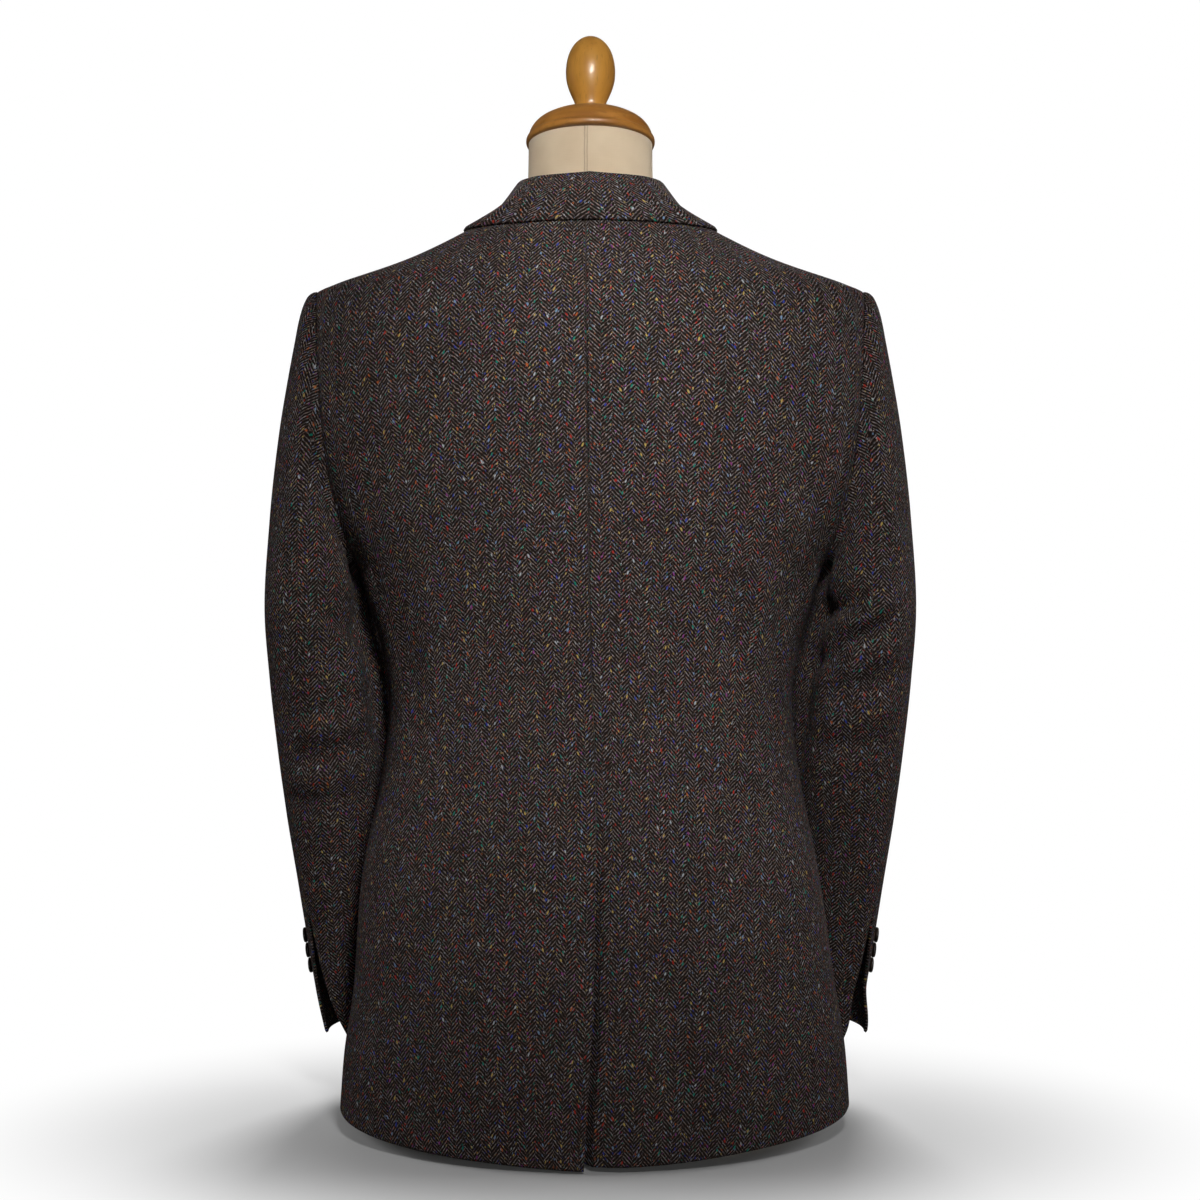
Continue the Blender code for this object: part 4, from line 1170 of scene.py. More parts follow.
@dataclass(frozen=True)
class Cotton:
    """The form's plain cream cover, with a seam down its back."""

    name: str
    colour: Colour = (0.70, 0.56, 0.39)
    shade: Colour = (0.60, 0.46, 0.31)
    thread: float = 0.0007
    seam_x: float = 0.0036
    neck_radius: float = 0.055

    def material(self) -> Material:
        """Make the material.

        Returns:
            The material.
        """
        shader = Shader(self.name)
        place = shader.here()
        x, y, z = shader.apart(place)
        around = shader.math("ARCTAN2", x, y) * self.neck_radius
        weft = (z / self.thread).zigzag(1.0)
        warp = (around / self.thread).zigzag(1.0)
        weave = weft * 0.5 + warp * 0.5
        cloudy = shader.noise(place, 22.0, 3.0)
        slubs = shader.noise(shader.together(around * 3.0, y * 0.0, z * 40.0), 20.0, 2.0)
        side = (x - self.seam_x).size()
        behind = y.step(0.0, 0.01)
        seam = (1.0 - (side - 0.0012).size().step(0.0001, 0.0007)) * behind
        welt = (1.0 - side.step(0.0008, 0.0022)) * behind
        colour = shader.mix(cloudy.step(0.3, 0.75), self.colour, self.shade)
        colour = shader.mix(seam * 0.35, colour, (0.30, 0.21, 0.13))
        height = weave * 0.10 + cloudy * 0.5 + slubs * 0.2 - seam * 1.6 + welt * 0.9
        return shader.finished({
            "Base Color": colour,
            "Roughness": 0.88,
            "Specular IOR Level": 0.2,
            "Sheen Weight": 0.12,
            "Normal": shader.bump(height, 0.0006, 0.8),
        })


class Grain(Enum):
    """Which way the wood's fibres run."""

    UPRIGHT = (90.0, 90.0, 7.0)
    ACROSS = (9.0, 60.0, 150.0)


@dataclass(frozen=True)
class Wood:
    """Turned and varnished wood."""

    name: str
    light: Colour
    dark: Colour
    grain: Grain
    varnish: float

    def material(self) -> Material:
        """Make the material.

        Returns:
            The material.
        """
        shader = Shader(self.name)
        place = shader.here()
        x, y, z = shader.apart(place)
        along, aside, up = self.grain.value
        bend = shader.noise(place, 14.0, 2.0) - 0.5
        stretched = shader.together(x * along + bend, y * aside + bend * 2.0, z * up)
        rings = shader.noise(stretched, 1.0, 3.0)
        fine = shader.noise(shader.together(x * along * 6.0, y * aside * 6.0, z * up * 2.0), 1.0, 2.0)
        pores = fine.step(0.58, 0.74)
        colour = shader.mix(rings.step(0.30, 0.70), self.light, self.dark)
        colour = shader.mix(pores * 0.35, colour, tuple(0.45 * part for part in self.dark))
        return shader.finished({
            "Base Color": colour,
            "Roughness": rings * 0.12 + 0.34,
            "Coat Weight": self.varnish,
            "Coat Roughness": 0.24,
            "Normal": shader.bump(rings * 0.4 + pores * -0.5, 0.0003, 0.35),
        })


@dataclass(frozen=True)
class Horn:
    """Dark polished horn with faint streaks."""

    name: str
    dark: Colour = (0.012, 0.008, 0.006)
    light: Colour = (0.060, 0.034, 0.018)

    def material(self) -> Material:
        """Make the material.

        Returns:
            The material.
        """
        shader = Shader(self.name)
        place = shader.here()
        x, y, z = shader.apart(place)
        streaks = shader.noise(shader.together(x * 3.0, y * 3.0, z), 160.0, 3.0)
        colour = shader.mix(streaks.step(0.45, 0.78), self.dark, self.light)
        return shader.finished({
            "Base Color": colour,
            "Roughness": streaks * 0.2 + 0.22,
            "Coat Weight": 0.3,
            "Coat Roughness": 0.2,
            "Normal": shader.bump(shader.noise(place, 900.0, 2.0), 0.0001, 0.3),
        })


@dataclass(frozen=True)
class Thread:
    """Twisted sewing thread."""

    name: str
    colour: Colour = (0.030, 0.022, 0.020)

    def material(self) -> Material:
        """Make the material.

        Returns:
            The material.
        """
        shader = Shader(self.name)
        twist = shader.noise(shader.here(), 2600.0, 2.0)
        colour = shader.mix(twist.step(0.35, 0.65), self.colour, tuple(2.4 * part for part in self.colour))
        return shader.finished({
            "Base Color": colour,
            "Roughness": 0.7,
            "Sheen Weight": 0.2,
            "Normal": shader.bump(twist, 0.0002, 0.8),
        })


# --- the body of the jacket ----------------------------------------------------------------------


BACK_CREASES = creases(
    (-0.158, 0.296, -0.080, 0.300, -0.0026, 0.009, 0.004),
    (-0.160, 0.312, -0.085, 0.316, 0.0020, 0.010, 0.004),
    (-0.138, 0.360, -0.139, 0.490, 0.0030, 0.009, 0.003),
    (-0.120, 0.350, -0.122, 0.480, -0.0020, 0.009, 0.003),
    (-0.152, 0.350, -0.162, 0.470, -0.0026, 0.010, -0.004),
    (0.138, 0.330, 0.150, 0.450, -0.0022, 0.012, 0.005),
    (0.115, 0.340, 0.122, 0.450, 0.0018, 0.013, 0.005),
    (-0.030, 0.440, -0.036, 0.500, 0.0016, 0.009, 0.0),
    (-0.186, 0.505, -0.165, 0.610, -0.0030, 0.012, 0.006),
    (0.186, 0.505, 0.168, 0.620, -0.0028, 0.012, -0.006),
    (-0.105, 0.030, -0.100, 0.190, 0.0026, 0.020, 0.004),
    (-0.062, 0.030, -0.060, 0.170, -0.0020, 0.016, 0.003),
    (0.085, 0.020, 0.078, 0.200, 0.0026, 0.022, -0.004),
    (0.150, 0.020, 0.138, 0.170, -0.0024, 0.018, -0.004),
    (0.040, 0.255, 0.110, 0.268, -0.0014, 0.010, 0.003),
)

FRONT_CREASES = creases(
    (0.030, 0.418, 0.110, 0.455, 0.0018, 0.010, 0.005),
    (0.030, 0.404, 0.105, 0.428, -0.0014, 0.009, 0.004),
    (0.028, 0.436, 0.085, 0.490, -0.0014, 0.010, 0.004),
    (0.150, 0.480, 0.172, 0.600, -0.0022, 0.013, -0.006),
    (0.060, 0.060, 0.066, 0.190, 0.0014, 0.020, 0.004),
    (0.125, 0.030, 0.130, 0.160, -0.0014, 0.018, 0.004),
)


UNDERARM_FOLDS = ((0.461, 0.0030), (0.447, 0.0024), (0.430, 0.0014))  # height, and how far each stands out


@dataclass
class Body:
    """The back, the side bodies and the fronts."""

    finish: Material
    step: float = 0.0048  # between grid lines
    armhole_step: float = 3.2  # degrees between the rows that end on the armhole
    width: float = 0.245  # of a back or a front, roughly, as their columns are spaced
    side_height: float = 0.46  # of a side body, the same for its rows
    shoulder_run: float = 0.150  # of cloth from the armhole to the neck
    level_band: float = 0.016  # creases fade out this close to a seam
    yoke_reach: float = 0.016  # the bend below the yoke is let out over this length
    yoke_start: Pair = (0.640, 0.680)  # heights between which this sets in
    yoke_end: Pair = (0.744, 0.764)  # and between which it ends
    stretch_start: Pair = (0.600, 0.660)  # the same for the drawn weave
    least_length: float = 0.5  # of the drawn weave, as a share of the cloth's own
    corner_sag: float = 0.0024  # how far the lower corner of the upper vent edge hangs down
    vent_spring: float = 0.0046  # how far the upper vent edge stands off
    spring_start: Pair = (0.185, 0.245)  # heights between which this ends
    vent_sink: float = 0.0078  # how far the cloth beside it falls in
    sink_start: Pair = (0.226, 0.258)  # heights between which this ends
    hem_sink: float = 0.0026  # how much further it falls near the hem
    vent_slope: float = 0.0072  # the width over which it falls
    vent_columns: tuple[float, float, int] = (0.060, 0.260, 44)  # shares of the width, and their number

    def armhole_rows(self, start: float, end: float) -> tuple[Array, Array]:
        """Find where rows end on the armhole.

        Args:
            start: the turn of the first, which is left out.
            end: the turn of the last.

        Returns:
            Their angles and levels.
        """
        count = max(2, round(abs(end - start) / self.armhole_step))
        return armhole_spot(np.linspace(start, end, count + 1)[1:])

    def rows(self, pitch: float, top_turn: float, table: Sequence[Pair]) -> tuple[Array, Array]:
        """Levels and side angles of a back's or a front's rows.

        Args:
            pitch: where the side seam meets the armhole.
            top_turn: the turn of the armhole's top, reached from there.
            table: the side seam.

        Returns:
            The levels from hem to neck, and the angle where each row ends.
        """
        top_level = float(armhole_spot(pitch)[1])
        seam_levels = HEM + spread(top_level - HEM, self.step) * (top_level - HEM)
        angles, levels = self.armhole_rows(pitch, top_turn)
        shoulder = SHOULDER_TIP + spread(self.shoulder_run, self.step)[1:] * (NECK_SEAM - SHOULDER_TIP)
        ends = (seam_angle(table, pitch, seam_levels), angles, np.full(shoulder.shape, 90.0))
        return np.concatenate((seam_levels, levels, shoulder)), np.concatenate(ends)

    def grain(self, points: Array) -> Array:
        """The warp runs up the body and over the shoulder."""
        return np.array((0.0, -0.35 * np.sign(np.mean(points[..., 1])), 1.0))

    def seam_fade(self, points: Array) -> Array:
        """0 at the first and last columns and 1 away from them, so that seams stay level."""
        across = running_length(points, 1)
        return ease(np.minimum(across, across[:, -1:] - across), 0.001, self.level_band)

    def eased(self, points: Array) -> Array:
        """The back with the bend below its yoke let out along each column.

        Args:
            points: the panel's points, rows upwards.

        Returns:
            The new points. The hem, the armhole, the shoulder seam and the neck stay where they are.
        """
        run = running_length(points, 0)
        gap = (run[:, None] - run[None]) / self.yoke_reach
        weight = np.exp(-0.5 * gap**2) * np.gradient(run, axis=0)
        weight = weight / np.sum(weight, axis=1, keepdims=True)
        soft = np.einsum("ijk,jkx->ikx", weight, points)
        height = points[..., 2]
        share = ease(height, *self.yoke_start) * (1.0 - ease(height, *self.yoke_end))
        across = running_length(points, 1)
        share = share * ease(across[:, -1:] - across, 0.002, 0.030)
        return points + (soft - points) * share[..., None]

    def yoke_stretch(self, cloth: Cloth) -> Array:
        """How far the drawn weave is let out where the cloth tips over to the shoulder.

        Args:
            cloth: a back or a front with its weave.

        Returns:
            What is added to the lengthwise place of each point.
        """
        step = np.diff(cloth.points, axis=0)
        length = np.linalg.norm(step, axis=-1)
        place = np.diff(cloth.weave[..., 1], axis=0)
        over = ease(cloth.points[1:, :, 2], *self.stretch_start)
        wanted = np.sign(place) * np.maximum(np.abs(step[..., 2]), self.least_length * length)
        change = (wanted - place) * over
        return np.concatenate((np.zeros_like(change[:1]), np.cumsum(change, axis=0)))

    def creased(self, points: Array, creases: Sequence[Crease], side: float) -> Array:
        """How far the creases lift a panel.

        Args:
            points: of the panel, drawn on the left.
            creases: on a map of both sides.
            side: of the panel on that map.

        Returns:
            The lift of each point.
        """
        lift = sum(crease.rise(points[..., 0] * side, points[..., 2]) for crease in creases)
        return lift * self.seam_fade(points)

    def vent_lift(self, offset: Array, levels: Array, height: Array, under: bool) -> Array:
        """How the edges of the vent part: the left one springs out and the right one falls in.

        Args:
            offset: of each point from the centre seam, outwards.
            levels: of the rows, as a column.
            height: of each point.
            under: it is the right back, which has the underlap.

        Returns:
            The lift of each point.
        """
        if under:
            below = np.clip((VENT_TOP - levels) / (VENT_TOP - VENT_CORNER), 0.0, 1.0)
            tucked = LAP_DROP * below * (1.0 - ease(offset, 0.002, 0.030))
            sink = self.vent_sink + self.hem_sink * (1.0 - ease(height, 0.10, 0.19))
            sink = sink * (1.0 - ease(levels, *self.sink_start))
            return -tucked - sink * (1.0 - np.clip((offset + 0.0005) / self.vent_slope, 0.0, 1.0))
        spring = (1.0 - ease(levels, *self.spring_start)) * (0.35 + 0.65 * ease(levels, 0.02, 0.11))
        return self.vent_spring * spring * (1.0 - ease(offset, 0.0, 0.034))

    def back(self, side: float) -> Cloth:
        """Make a back. The right one runs on under the left one along the vent.

        Args:
            side: 1 for the left, -1 for the right.

        Returns:
            The piece.
        """
        levels, ends = self.rows(BACK_PITCH, 0.0, BACK_SEAM)
        seam_x = Track(*zip(*CENTRE_SEAM)).at(levels) * side
        under = side < 0.0
        start_x = seam_x
        shares = spread(self.width, self.step)
        if under:
            wide = np.clip((VENT_CORNER - levels) / (VENT_CORNER - VENT_FULL), 0.0, 1.0)
            start_x = seam_x - VENT_UNDERLAP * wide
            first, last, count = self.vent_columns
            kept = shares[(shares < first - 0.004) | (shares > last + 0.004)]
            shares = np.sort(np.concatenate((kept, np.linspace(first, last, count))))
        starts = JACKET.angle_at_x(start_x, levels, False)
        angles = starts[:, None] + (ends - starts)[:, None] * shares
        points = self.eased(JACKET.point(angles, levels[:, None]))
        cloth = Cloth(f"back_{SIDE_NAMES[side]}", points, (Border.HEM, Border.SEAM, Border.SEAM, Border.SOFT))
        cloth.lay_weave(self.grain(points), 0, seam_x - start_x)
        cloth.stretch = self.yoke_stretch(cloth)
        offset = points[..., 0] - seam_x[:, None]
        if not under:
            near = (1.0 - ease(offset, 0.0, 0.090)) * (1.0 - ease(points[..., 2], 0.0, 0.200))
            cloth.points = cloth.points - (self.corner_sag * near)[..., None] * UP
        lift = self.vent_lift(offset, levels[:, None], points[..., 2], under)
        return cloth.settle(lift + self.creased(points, BACK_CREASES, side), side, True)

    def side_body(self, side: float) -> Cloth:
        """Make a side body, whose top is the lower part of the armhole.

        Args:
            side: 1 for the left, -1 for the right.

        Returns:
            The piece.
        """
        count = round((FRONT_PITCH - BACK_PITCH) / self.armhole_step)
        top_angles, top_levels = armhole_spot(np.linspace(BACK_PITCH, FRONT_PITCH, count + 1))
        backs = seam_angle(BACK_SEAM, BACK_PITCH, top_levels)
        fronts = seam_angle(FRONT_SEAM, FRONT_PITCH, top_levels)
        across = (top_angles - backs) / (fronts - backs)
        shares = spread(self.side_height, self.step)
        levels = HEM + shares[:, None] * (top_levels - HEM)
        backs = seam_angle(BACK_SEAM, BACK_PITCH, levels)
        fronts = seam_angle(FRONT_SEAM, FRONT_PITCH, levels)
        points = JACKET.point(backs + across * (fronts - backs), levels)
        borders = (Border.HEM, Border.SOFT, Border.SOFT, Border.SOFT)
        cloth = Cloth(f"side_{SIDE_NAMES[side]}", points, borders)
        cloth.lay_weave(UP)
        lift = -0.0014 * hump(across, 0.45, 0.16) * hump(points[..., 2], 0.36, 0.05)
        for height, rise in UNDERARM_FOLDS:
            lift = lift + rise * hump(across, 0.16, 0.14) * hump(points[..., 2], height, 0.0050)
        return cloth.settle(lift * self.seam_fade(points), side, True)

    def front(self, side: float) -> Cloth:
        """Make a front, from its side seam to its edge and the break line.

        Args:
            side: 1 for the left, -1 for the right.

        Returns:
            The piece.
        """
        levels, starts = self.rows(FRONT_PITCH, 360.0, FRONT_SEAM)
        ends = front_edge_angle(levels)
        angles = starts[:, None] + (ends - starts)[:, None] * spread(self.width, self.step)
        points = JACKET.point(angles, levels[:, None])
        borders = (Border.HEM, Border.SEAM, Border.SOFT, Border.HEM)
        cloth = Cloth(f"front_{SIDE_NAMES[side]}", points, borders)
        cloth.lay_weave(self.grain(points))
        cloth.stretch = self.yoke_stretch(cloth)
        lift = self.creased(points, FRONT_CREASES, 1.0)
        if side < 0.0:
            lift = lift - under_drop(points[..., 0], points[..., 2])
        return cloth.settle(lift, side, True)

    def build(self) -> None:
        """Make the six panels."""
        for side in (1.0, -1.0):
            for cloth in (self.back(side), self.side_body(side), self.front(side)):
                hand_over(cloth, self.finish)


@dataclass
class Lapels:
    """The lapels, rolled back over the fronts."""

    finish: Material
    step: float = 0.0042
    width: float = 0.085  # roughly, as its columns are spaced
    gorge_inset: float = 0.006  # where the top row ends
    fold_rise: float = 0.0011  # of the folded edge over the front's surface
    lowest: Pair = (BREAK_HEIGHT + 0.004, BREAK_HEIGHT + 0.030)  # left, right
    overhang: float = 0.0022  # the roll reaches past the break line
    roll: float = 0.0045  # extra spring of the roll near its lowest end

    def edge_x(self, z: Array) -> Array:
        """The x of the outer edge: the belly, the corner, the notch and the gorge.

        Args:
            z: heights.

        Returns:
            The x at each.
        """
        belly = Track(*zip(*LAPEL_EDGE)).at(z)
        corner_x, corner_z = LAPEL_CORNER
        above = np.interp(z, (corner_z, NOTCH[1], GORGE[1]), (corner_x, NOTCH[0], GORGE[0]))
        return np.where(z <= corner_z, belly, above)

    def lapel(self, side: float) -> Cloth:
        """Make one lapel from the front's own surface.

        Args:
            side: 1 for the left, -1 for the right.

        Returns:
            The piece.
        """
        low = self.lowest[0] if side > 0.0 else self.lowest[1]
        spots = (LAPEL_CORNER, NOTCH, (GORGE[0] + self.gorge_inset, GORGE[1] - self.gorge_inset))
        stops = [low] + [float(JACKET.spot_in_front(*spot)[1]) for spot in spots]
        runs = [foot + spread(top - foot, self.step) * (top - foot) for foot, top in zip(stops, stops[1:])]
        levels = np.concatenate((runs[0], runs[1][1:], runs[2][1:]))
        inner = front_edge_angle(levels)

        def inside(angle: Array) -> Array:
            """How far each row's point lies inside the outer edge."""
            point = JACKET.point(angle, levels)
            return self.edge_x(point[..., 2]) - point[..., 0]

        outer = bisect(inside, np.full(levels.shape, 92.0), inner)
        angles = inner[:, None] + (outer - inner)[:, None] * spread(self.width, self.step)
        points = JACKET.point(angles, levels[:, None])
        borders = (Border.HEM, Border.HEM, Border.NONE, Border.HEM)
        cloth = Cloth(f"lapel_{SIDE_NAMES[side]}", points, borders)
        break_line = unit(np.array((BREAK_SLOPE, 0.0, 1.0)))
        cloth.lay_weave(break_line, 0)
        distance = running_length(points, 1)
        width = np.maximum(distance[:, -1:], 0.004)
        lift = self.fold_rise + (CLOTH + LYING_GAP - 0.0006) * (1.0 - np.exp(-distance / CLOTH))
        soft = hump(points[..., 2], low + 0.025, 0.045) * hump(distance / width, 0.25, 0.42)
        lift = lift + self.roll * soft
        if side < 0.0:
            lift = lift - under_drop(points[..., 0], points[..., 2])
        towards_centre = unit(points[:, :1] - points[:, 1:2])
        slide = self.overhang * np.exp(-((distance / 0.0020) ** 2))
        cloth.points = points + towards_centre * slide[..., None]
        return cloth.settle(lift, side)

    def build(self) -> None:
        """Make both lapels."""
        hand_over(self.lapel(1.0), self.finish)
        hand_over(self.lapel(-1.0), self.finish)


@dataclass
class Collar:
    """The fall, folded over, and the stand inside it."""

    finish: Material
    lift: float = 0.0033
    gorge_gap: float = 0.0011
    end: float = 135.0  # degrees round the neck
    half_length: float = 0.185  # of the fall, the depth of its outside, and the stand's length and height:
    depth: float = 0.060  # roughly, as their grid lines are spaced
    stand_length: float = 0.330
    stand_height: float = 0.030
    stand_end: float = 118.0
    stand_inset: float = 0.0036
    stand_drop: float = 0.0066  # the stand's top below the fold
    foot_inset: float = 0.0032
    foot_rise: float = 0.0010
    step: float = 0.0040
    weave_column: int = 12  # the column whose length is kept

    STATIONS = (0.0, 45.0, 90.0)
    FOLD = ((0.0, 0.0550, 0.7970), (0.0478, 0.0398, 0.7960), (0.0622, 0.0, 0.7998))
    MIDDLE = ((0.0, 0.0695, 0.7800), (0.0602, 0.0508, 0.7785), (0.0795, 0.0, 0.7780))
    EDGE = ((0.0, 0.7570), (45.0, 0.7562), (90.0, 0.7600))  # angle and level on the torso
    ROLL = ((0.0060, -0.0062), (0.0057, -0.0030), (0.0046, -0.0008), (0.0032, 0.0004), (0.0016, 0.0006))

    def on_torso(self, angle: Array, level: Array) -> Array:
        """Points lifted off the torso."""
        return JACKET.point(angle, level) + JACKET.normal(angle, level) * self.lift

    def guides(self) -> tuple[Track, Track, Track]:
        """Fit the lines that the collar runs along.

        Returns:
            Tracks round the neck of the fold, of the middle, and of the edge's angle and level.
        """
        seam = np.subtract(GORGE, NOTCH)
        clear = np.array((-seam[1], seam[0])) / np.linalg.norm(seam) * self.gorge_gap
        gorge = self.on_torso(*JACKET.spot_in_front(*(np.array(GORGE) - clear)))
        notch = self.on_torso(*JACKET.spot_in_front(*(np.array(NOTCH) - clear)))
        corner = JACKET.spot_in_front(*COLLAR_POINT)
        stations = (*self.STATIONS, self.end)
        fold = Track(stations, (*self.FOLD, gorge))
        middle = Track(stations, (*self.MIDDLE, notch))
        return fold, middle, Track(stations, (*self.EDGE, (float(corner[0]), float(corner[1]))))

    def half(self) -> Array:
        """Shape the fall from the centre back to its left end.

        Returns:
            Rows of points, each from the inside over the fold.
        """
        fold, middle, edge = self.guides()
        stations = spread(self.half_length, self.step) * self.end
        spots = edge.at(stations)
        control = np.array((fold.at(stations), middle.at(stations), self.on_torso(spots[:, 0], spots[:, 1])))
        shares = spread(self.depth, self.step)
        bent = Track((0.0, 0.5, 1.0), control).at(shares)
        lower = np.clip(shares * 2.0, 0.0, 1.0)[:, None, None]
        upper = np.clip(shares * 2.0 - 1.0, 0.0, 1.0)[:, None, None]
        straight = control[0] + (control[1] - control[0]) * lower + (control[2] - control[1]) * upper
        flat = ease(stations, 100.0, 120.0)[None, :, None]
        fall = bent + (straight - bent) * flat
        inwards = -unit(control[0] * LEVEL)
        fading = 1.0 - 0.75 * ease(stations, 100.0, self.end)[:, None]
        roll = [control[0] + (inwards * aside + UP * rise) * fading for aside, rise in self.ROLL]
        return np.swapaxes(np.concatenate((np.array(roll), fall)), 0, 1)

    def fall(self) -> Cloth:
        """Make the fall, all round.

        Returns:
            The piece.
        """
        half = self.half()
        points = np.concatenate((half[:0:-1] * np.array((-1.0, 1.0, 1.0)), half))
        cloth = Cloth("collar_fall", points, (Border.HEM, Border.HEM, Border.NONE, Border.HEM))
        around = running_length(points[:, self.weave_column], 0)
        down = running_length(points, 1)
        across = (around - around[len(half) - 1])[:, None] * np.ones_like(down)
        cloth.weave = np.stack((across, -down), axis=-1)
        return cloth.settle(0.0)

    def stand(self) -> Cloth:
        """Make the stand, from the neck seam up to just below the fold.

        Returns:
            The piece.
        """
        angles = (spread(self.stand_length, self.step) * 2.0 - 1.0) * self.stand_end
        mirror = np.ones((len(angles), 3))
        mirror[angles < 0.0, 0] = -1.0
        size = np.abs(angles)
        foot = JACKET.point(size, np.full(size.shape, NECK_SEAM))
        foot = foot + UP * self.foot_rise - unit(foot * LEVEL) * self.foot_inset
        top = self.guides()[0].at(size)
        top = top - unit(top * LEVEL) * self.stand_inset - UP * self.stand_drop
        shares = spread(self.stand_height, self.step)[None, :, None]
        lean = 1.0 - (1.0 - shares) ** 1.35
        factor = np.concatenate((lean, lean, shares), axis=-1)
        points = (foot[:, None] + (top - foot)[:, None] * factor) * mirror[:, None]
        cloth = Cloth("collar_stand", points, (Border.HEM, Border.HEM, Border.SEWN, Border.NONE))
        around = running_length(points[:, 2], 0)[:, None] * np.ones(points.shape[:2])
        cloth.weave = np.stack((around, running_length(points, 1)), axis=-1)
        return cloth.settle(0.0)

    def build(self) -> None:
        """Make the fall and the stand."""
        hand_over(self.fall(), self.finish)
        hand_over(self.stand(), self.finish)


# --- the sleeves ---------------------------------------------------------------------------------

# Out from the armhole, above it, and down over the top.
HEAD_ROWS = (
    (0.0014, 0.0005, 0.0002),
    (0.0042, 0.0009, 0.0010),
    (0.0078, 0.0008, 0.0032),
    (0.0114, 0.0004, 0.0095),
    (0.0152, 0.0, 0.0225),
)
HEAD_BLEND = (0.07, 0.18, 0.38, 0.68)
HEAD_FULLNESS = 0.003

# Height, reach of the outer side, depth of the middle, reach across and along, and turn in degrees.
SLEEVE_RINGS = (
    (0.435, 0.2757, -0.008, 0.0432, 0.070, 4.0),
    (0.380, 0.2733, -0.016, 0.0480, 0.065, 8.0),
    (0.320, 0.2690, -0.028, 0.0478, 0.061, 11.0),
    (0.260, 0.2637, -0.046, 0.0430, 0.058, 14.0),
    (0.200, 0.2563, -0.064, 0.0368, 0.056, 17.0),
    (0.150, 0.2505, -0.078, 0.0345, 0.0545, 19.0),
    (0.100, 0.2440, -0.090, 0.0320, 0.054, 20.0),
    (CUFF, 0.2363, -0.095, 0.0300, 0.054, 20.0),
)
CUFF_FLARE = {1.0: 0.0, -1.0: 0.0095}
FLARE_START = 0.108
HIND_SEAM = ((CUFF, 64.0), (SLEEVE_VENT_TOP, 68.0), (SHOULDER_TIP, 72.0))
VENT_GAPE = ((CUFF, 18.0, 44.0), (0.080, 15.0, 33.0), (0.120, 8.0, 15.0), (SLEEVE_VENT_TOP, 0.0, 0.0))

ARM_RADIUS = 0.048  # turns an angle round the sleeve into a distance on the crease maps

SLEEVE_CREASES = {
    1.0: creases(
        (0.070, 0.352, 0.125, 0.366, -0.0040, 0.0075, 0.003),
        (0.062, 0.336, 0.122, 0.348, 0.0032, 0.0085, 0.003),
        (0.060, 0.316, 0.128, 0.325, -0.0038, 0.0085, 0.004),
        (0.045, 0.294, 0.115, 0.304, 0.0028, 0.010, 0.004),
        (0.050, 0.274, 0.112, 0.280, -0.0024, 0.009, 0.003),
        (0.096, 0.436, 0.138, 0.416, -0.0050, 0.0085, 0.002),
        (0.088, 0.420, 0.132, 0.398, 0.0030, 0.0080, 0.002),
        (0.060, 0.500, 0.072, 0.610, 0.0034, 0.009, 0.003),
        (0.138, 0.490, 0.142, 0.300, -0.0070, 0.012, 0.003),
        (-0.060, 0.330, 0.010, 0.322, -0.0018, 0.010, 0.004),
        (-0.085, 0.300, -0.020, 0.290, -0.0024, 0.008, 0.004),
        (-0.085, 0.350, -0.030, 0.342, -0.0020, 0.008, 0.003),
        (0.180, 0.365, 0.184, 0.452, 0.0075, 0.017, 0.002),
    ),
    -1.0: creases(
        (0.140, 0.436, 0.088, 0.448, -0.0066, 0.0085, -0.003),
        (0.112, 0.424, 0.062, 0.452, 0.0056, 0.0080, -0.003),
        (0.116, 0.404, 0.060, 0.432, -0.0052, 0.0075, -0.003),
        (0.116, 0.388, 0.050, 0.412, 0.0038, 0.0085, -0.003),
        (0.146, 0.392, 0.104, 0.394, -0.0060, 0.0090, 0.002),
        (0.112, 0.368, 0.048, 0.388, -0.0034, 0.0080, -0.003),
        (0.120, 0.346, 0.052, 0.358, 0.0028, 0.0090, -0.003),
        (0.120, 0.322, 0.055, 0.332, -0.0030, 0.0080, -0.003),
        (0.058, 0.500, 0.070, 0.600, 0.0032, 0.0090, 0.003),
        (0.140, 0.500, 0.142, 0.300, -0.0070, 0.0120, 0.003),
        (-0.085, 0.320, -0.020, 0.312, -0.0024, 0.008, 0.004),
        (0.180, 0.365, 0.184, 0.452, 0.0075, 0.017, 0.002),
    ),
}


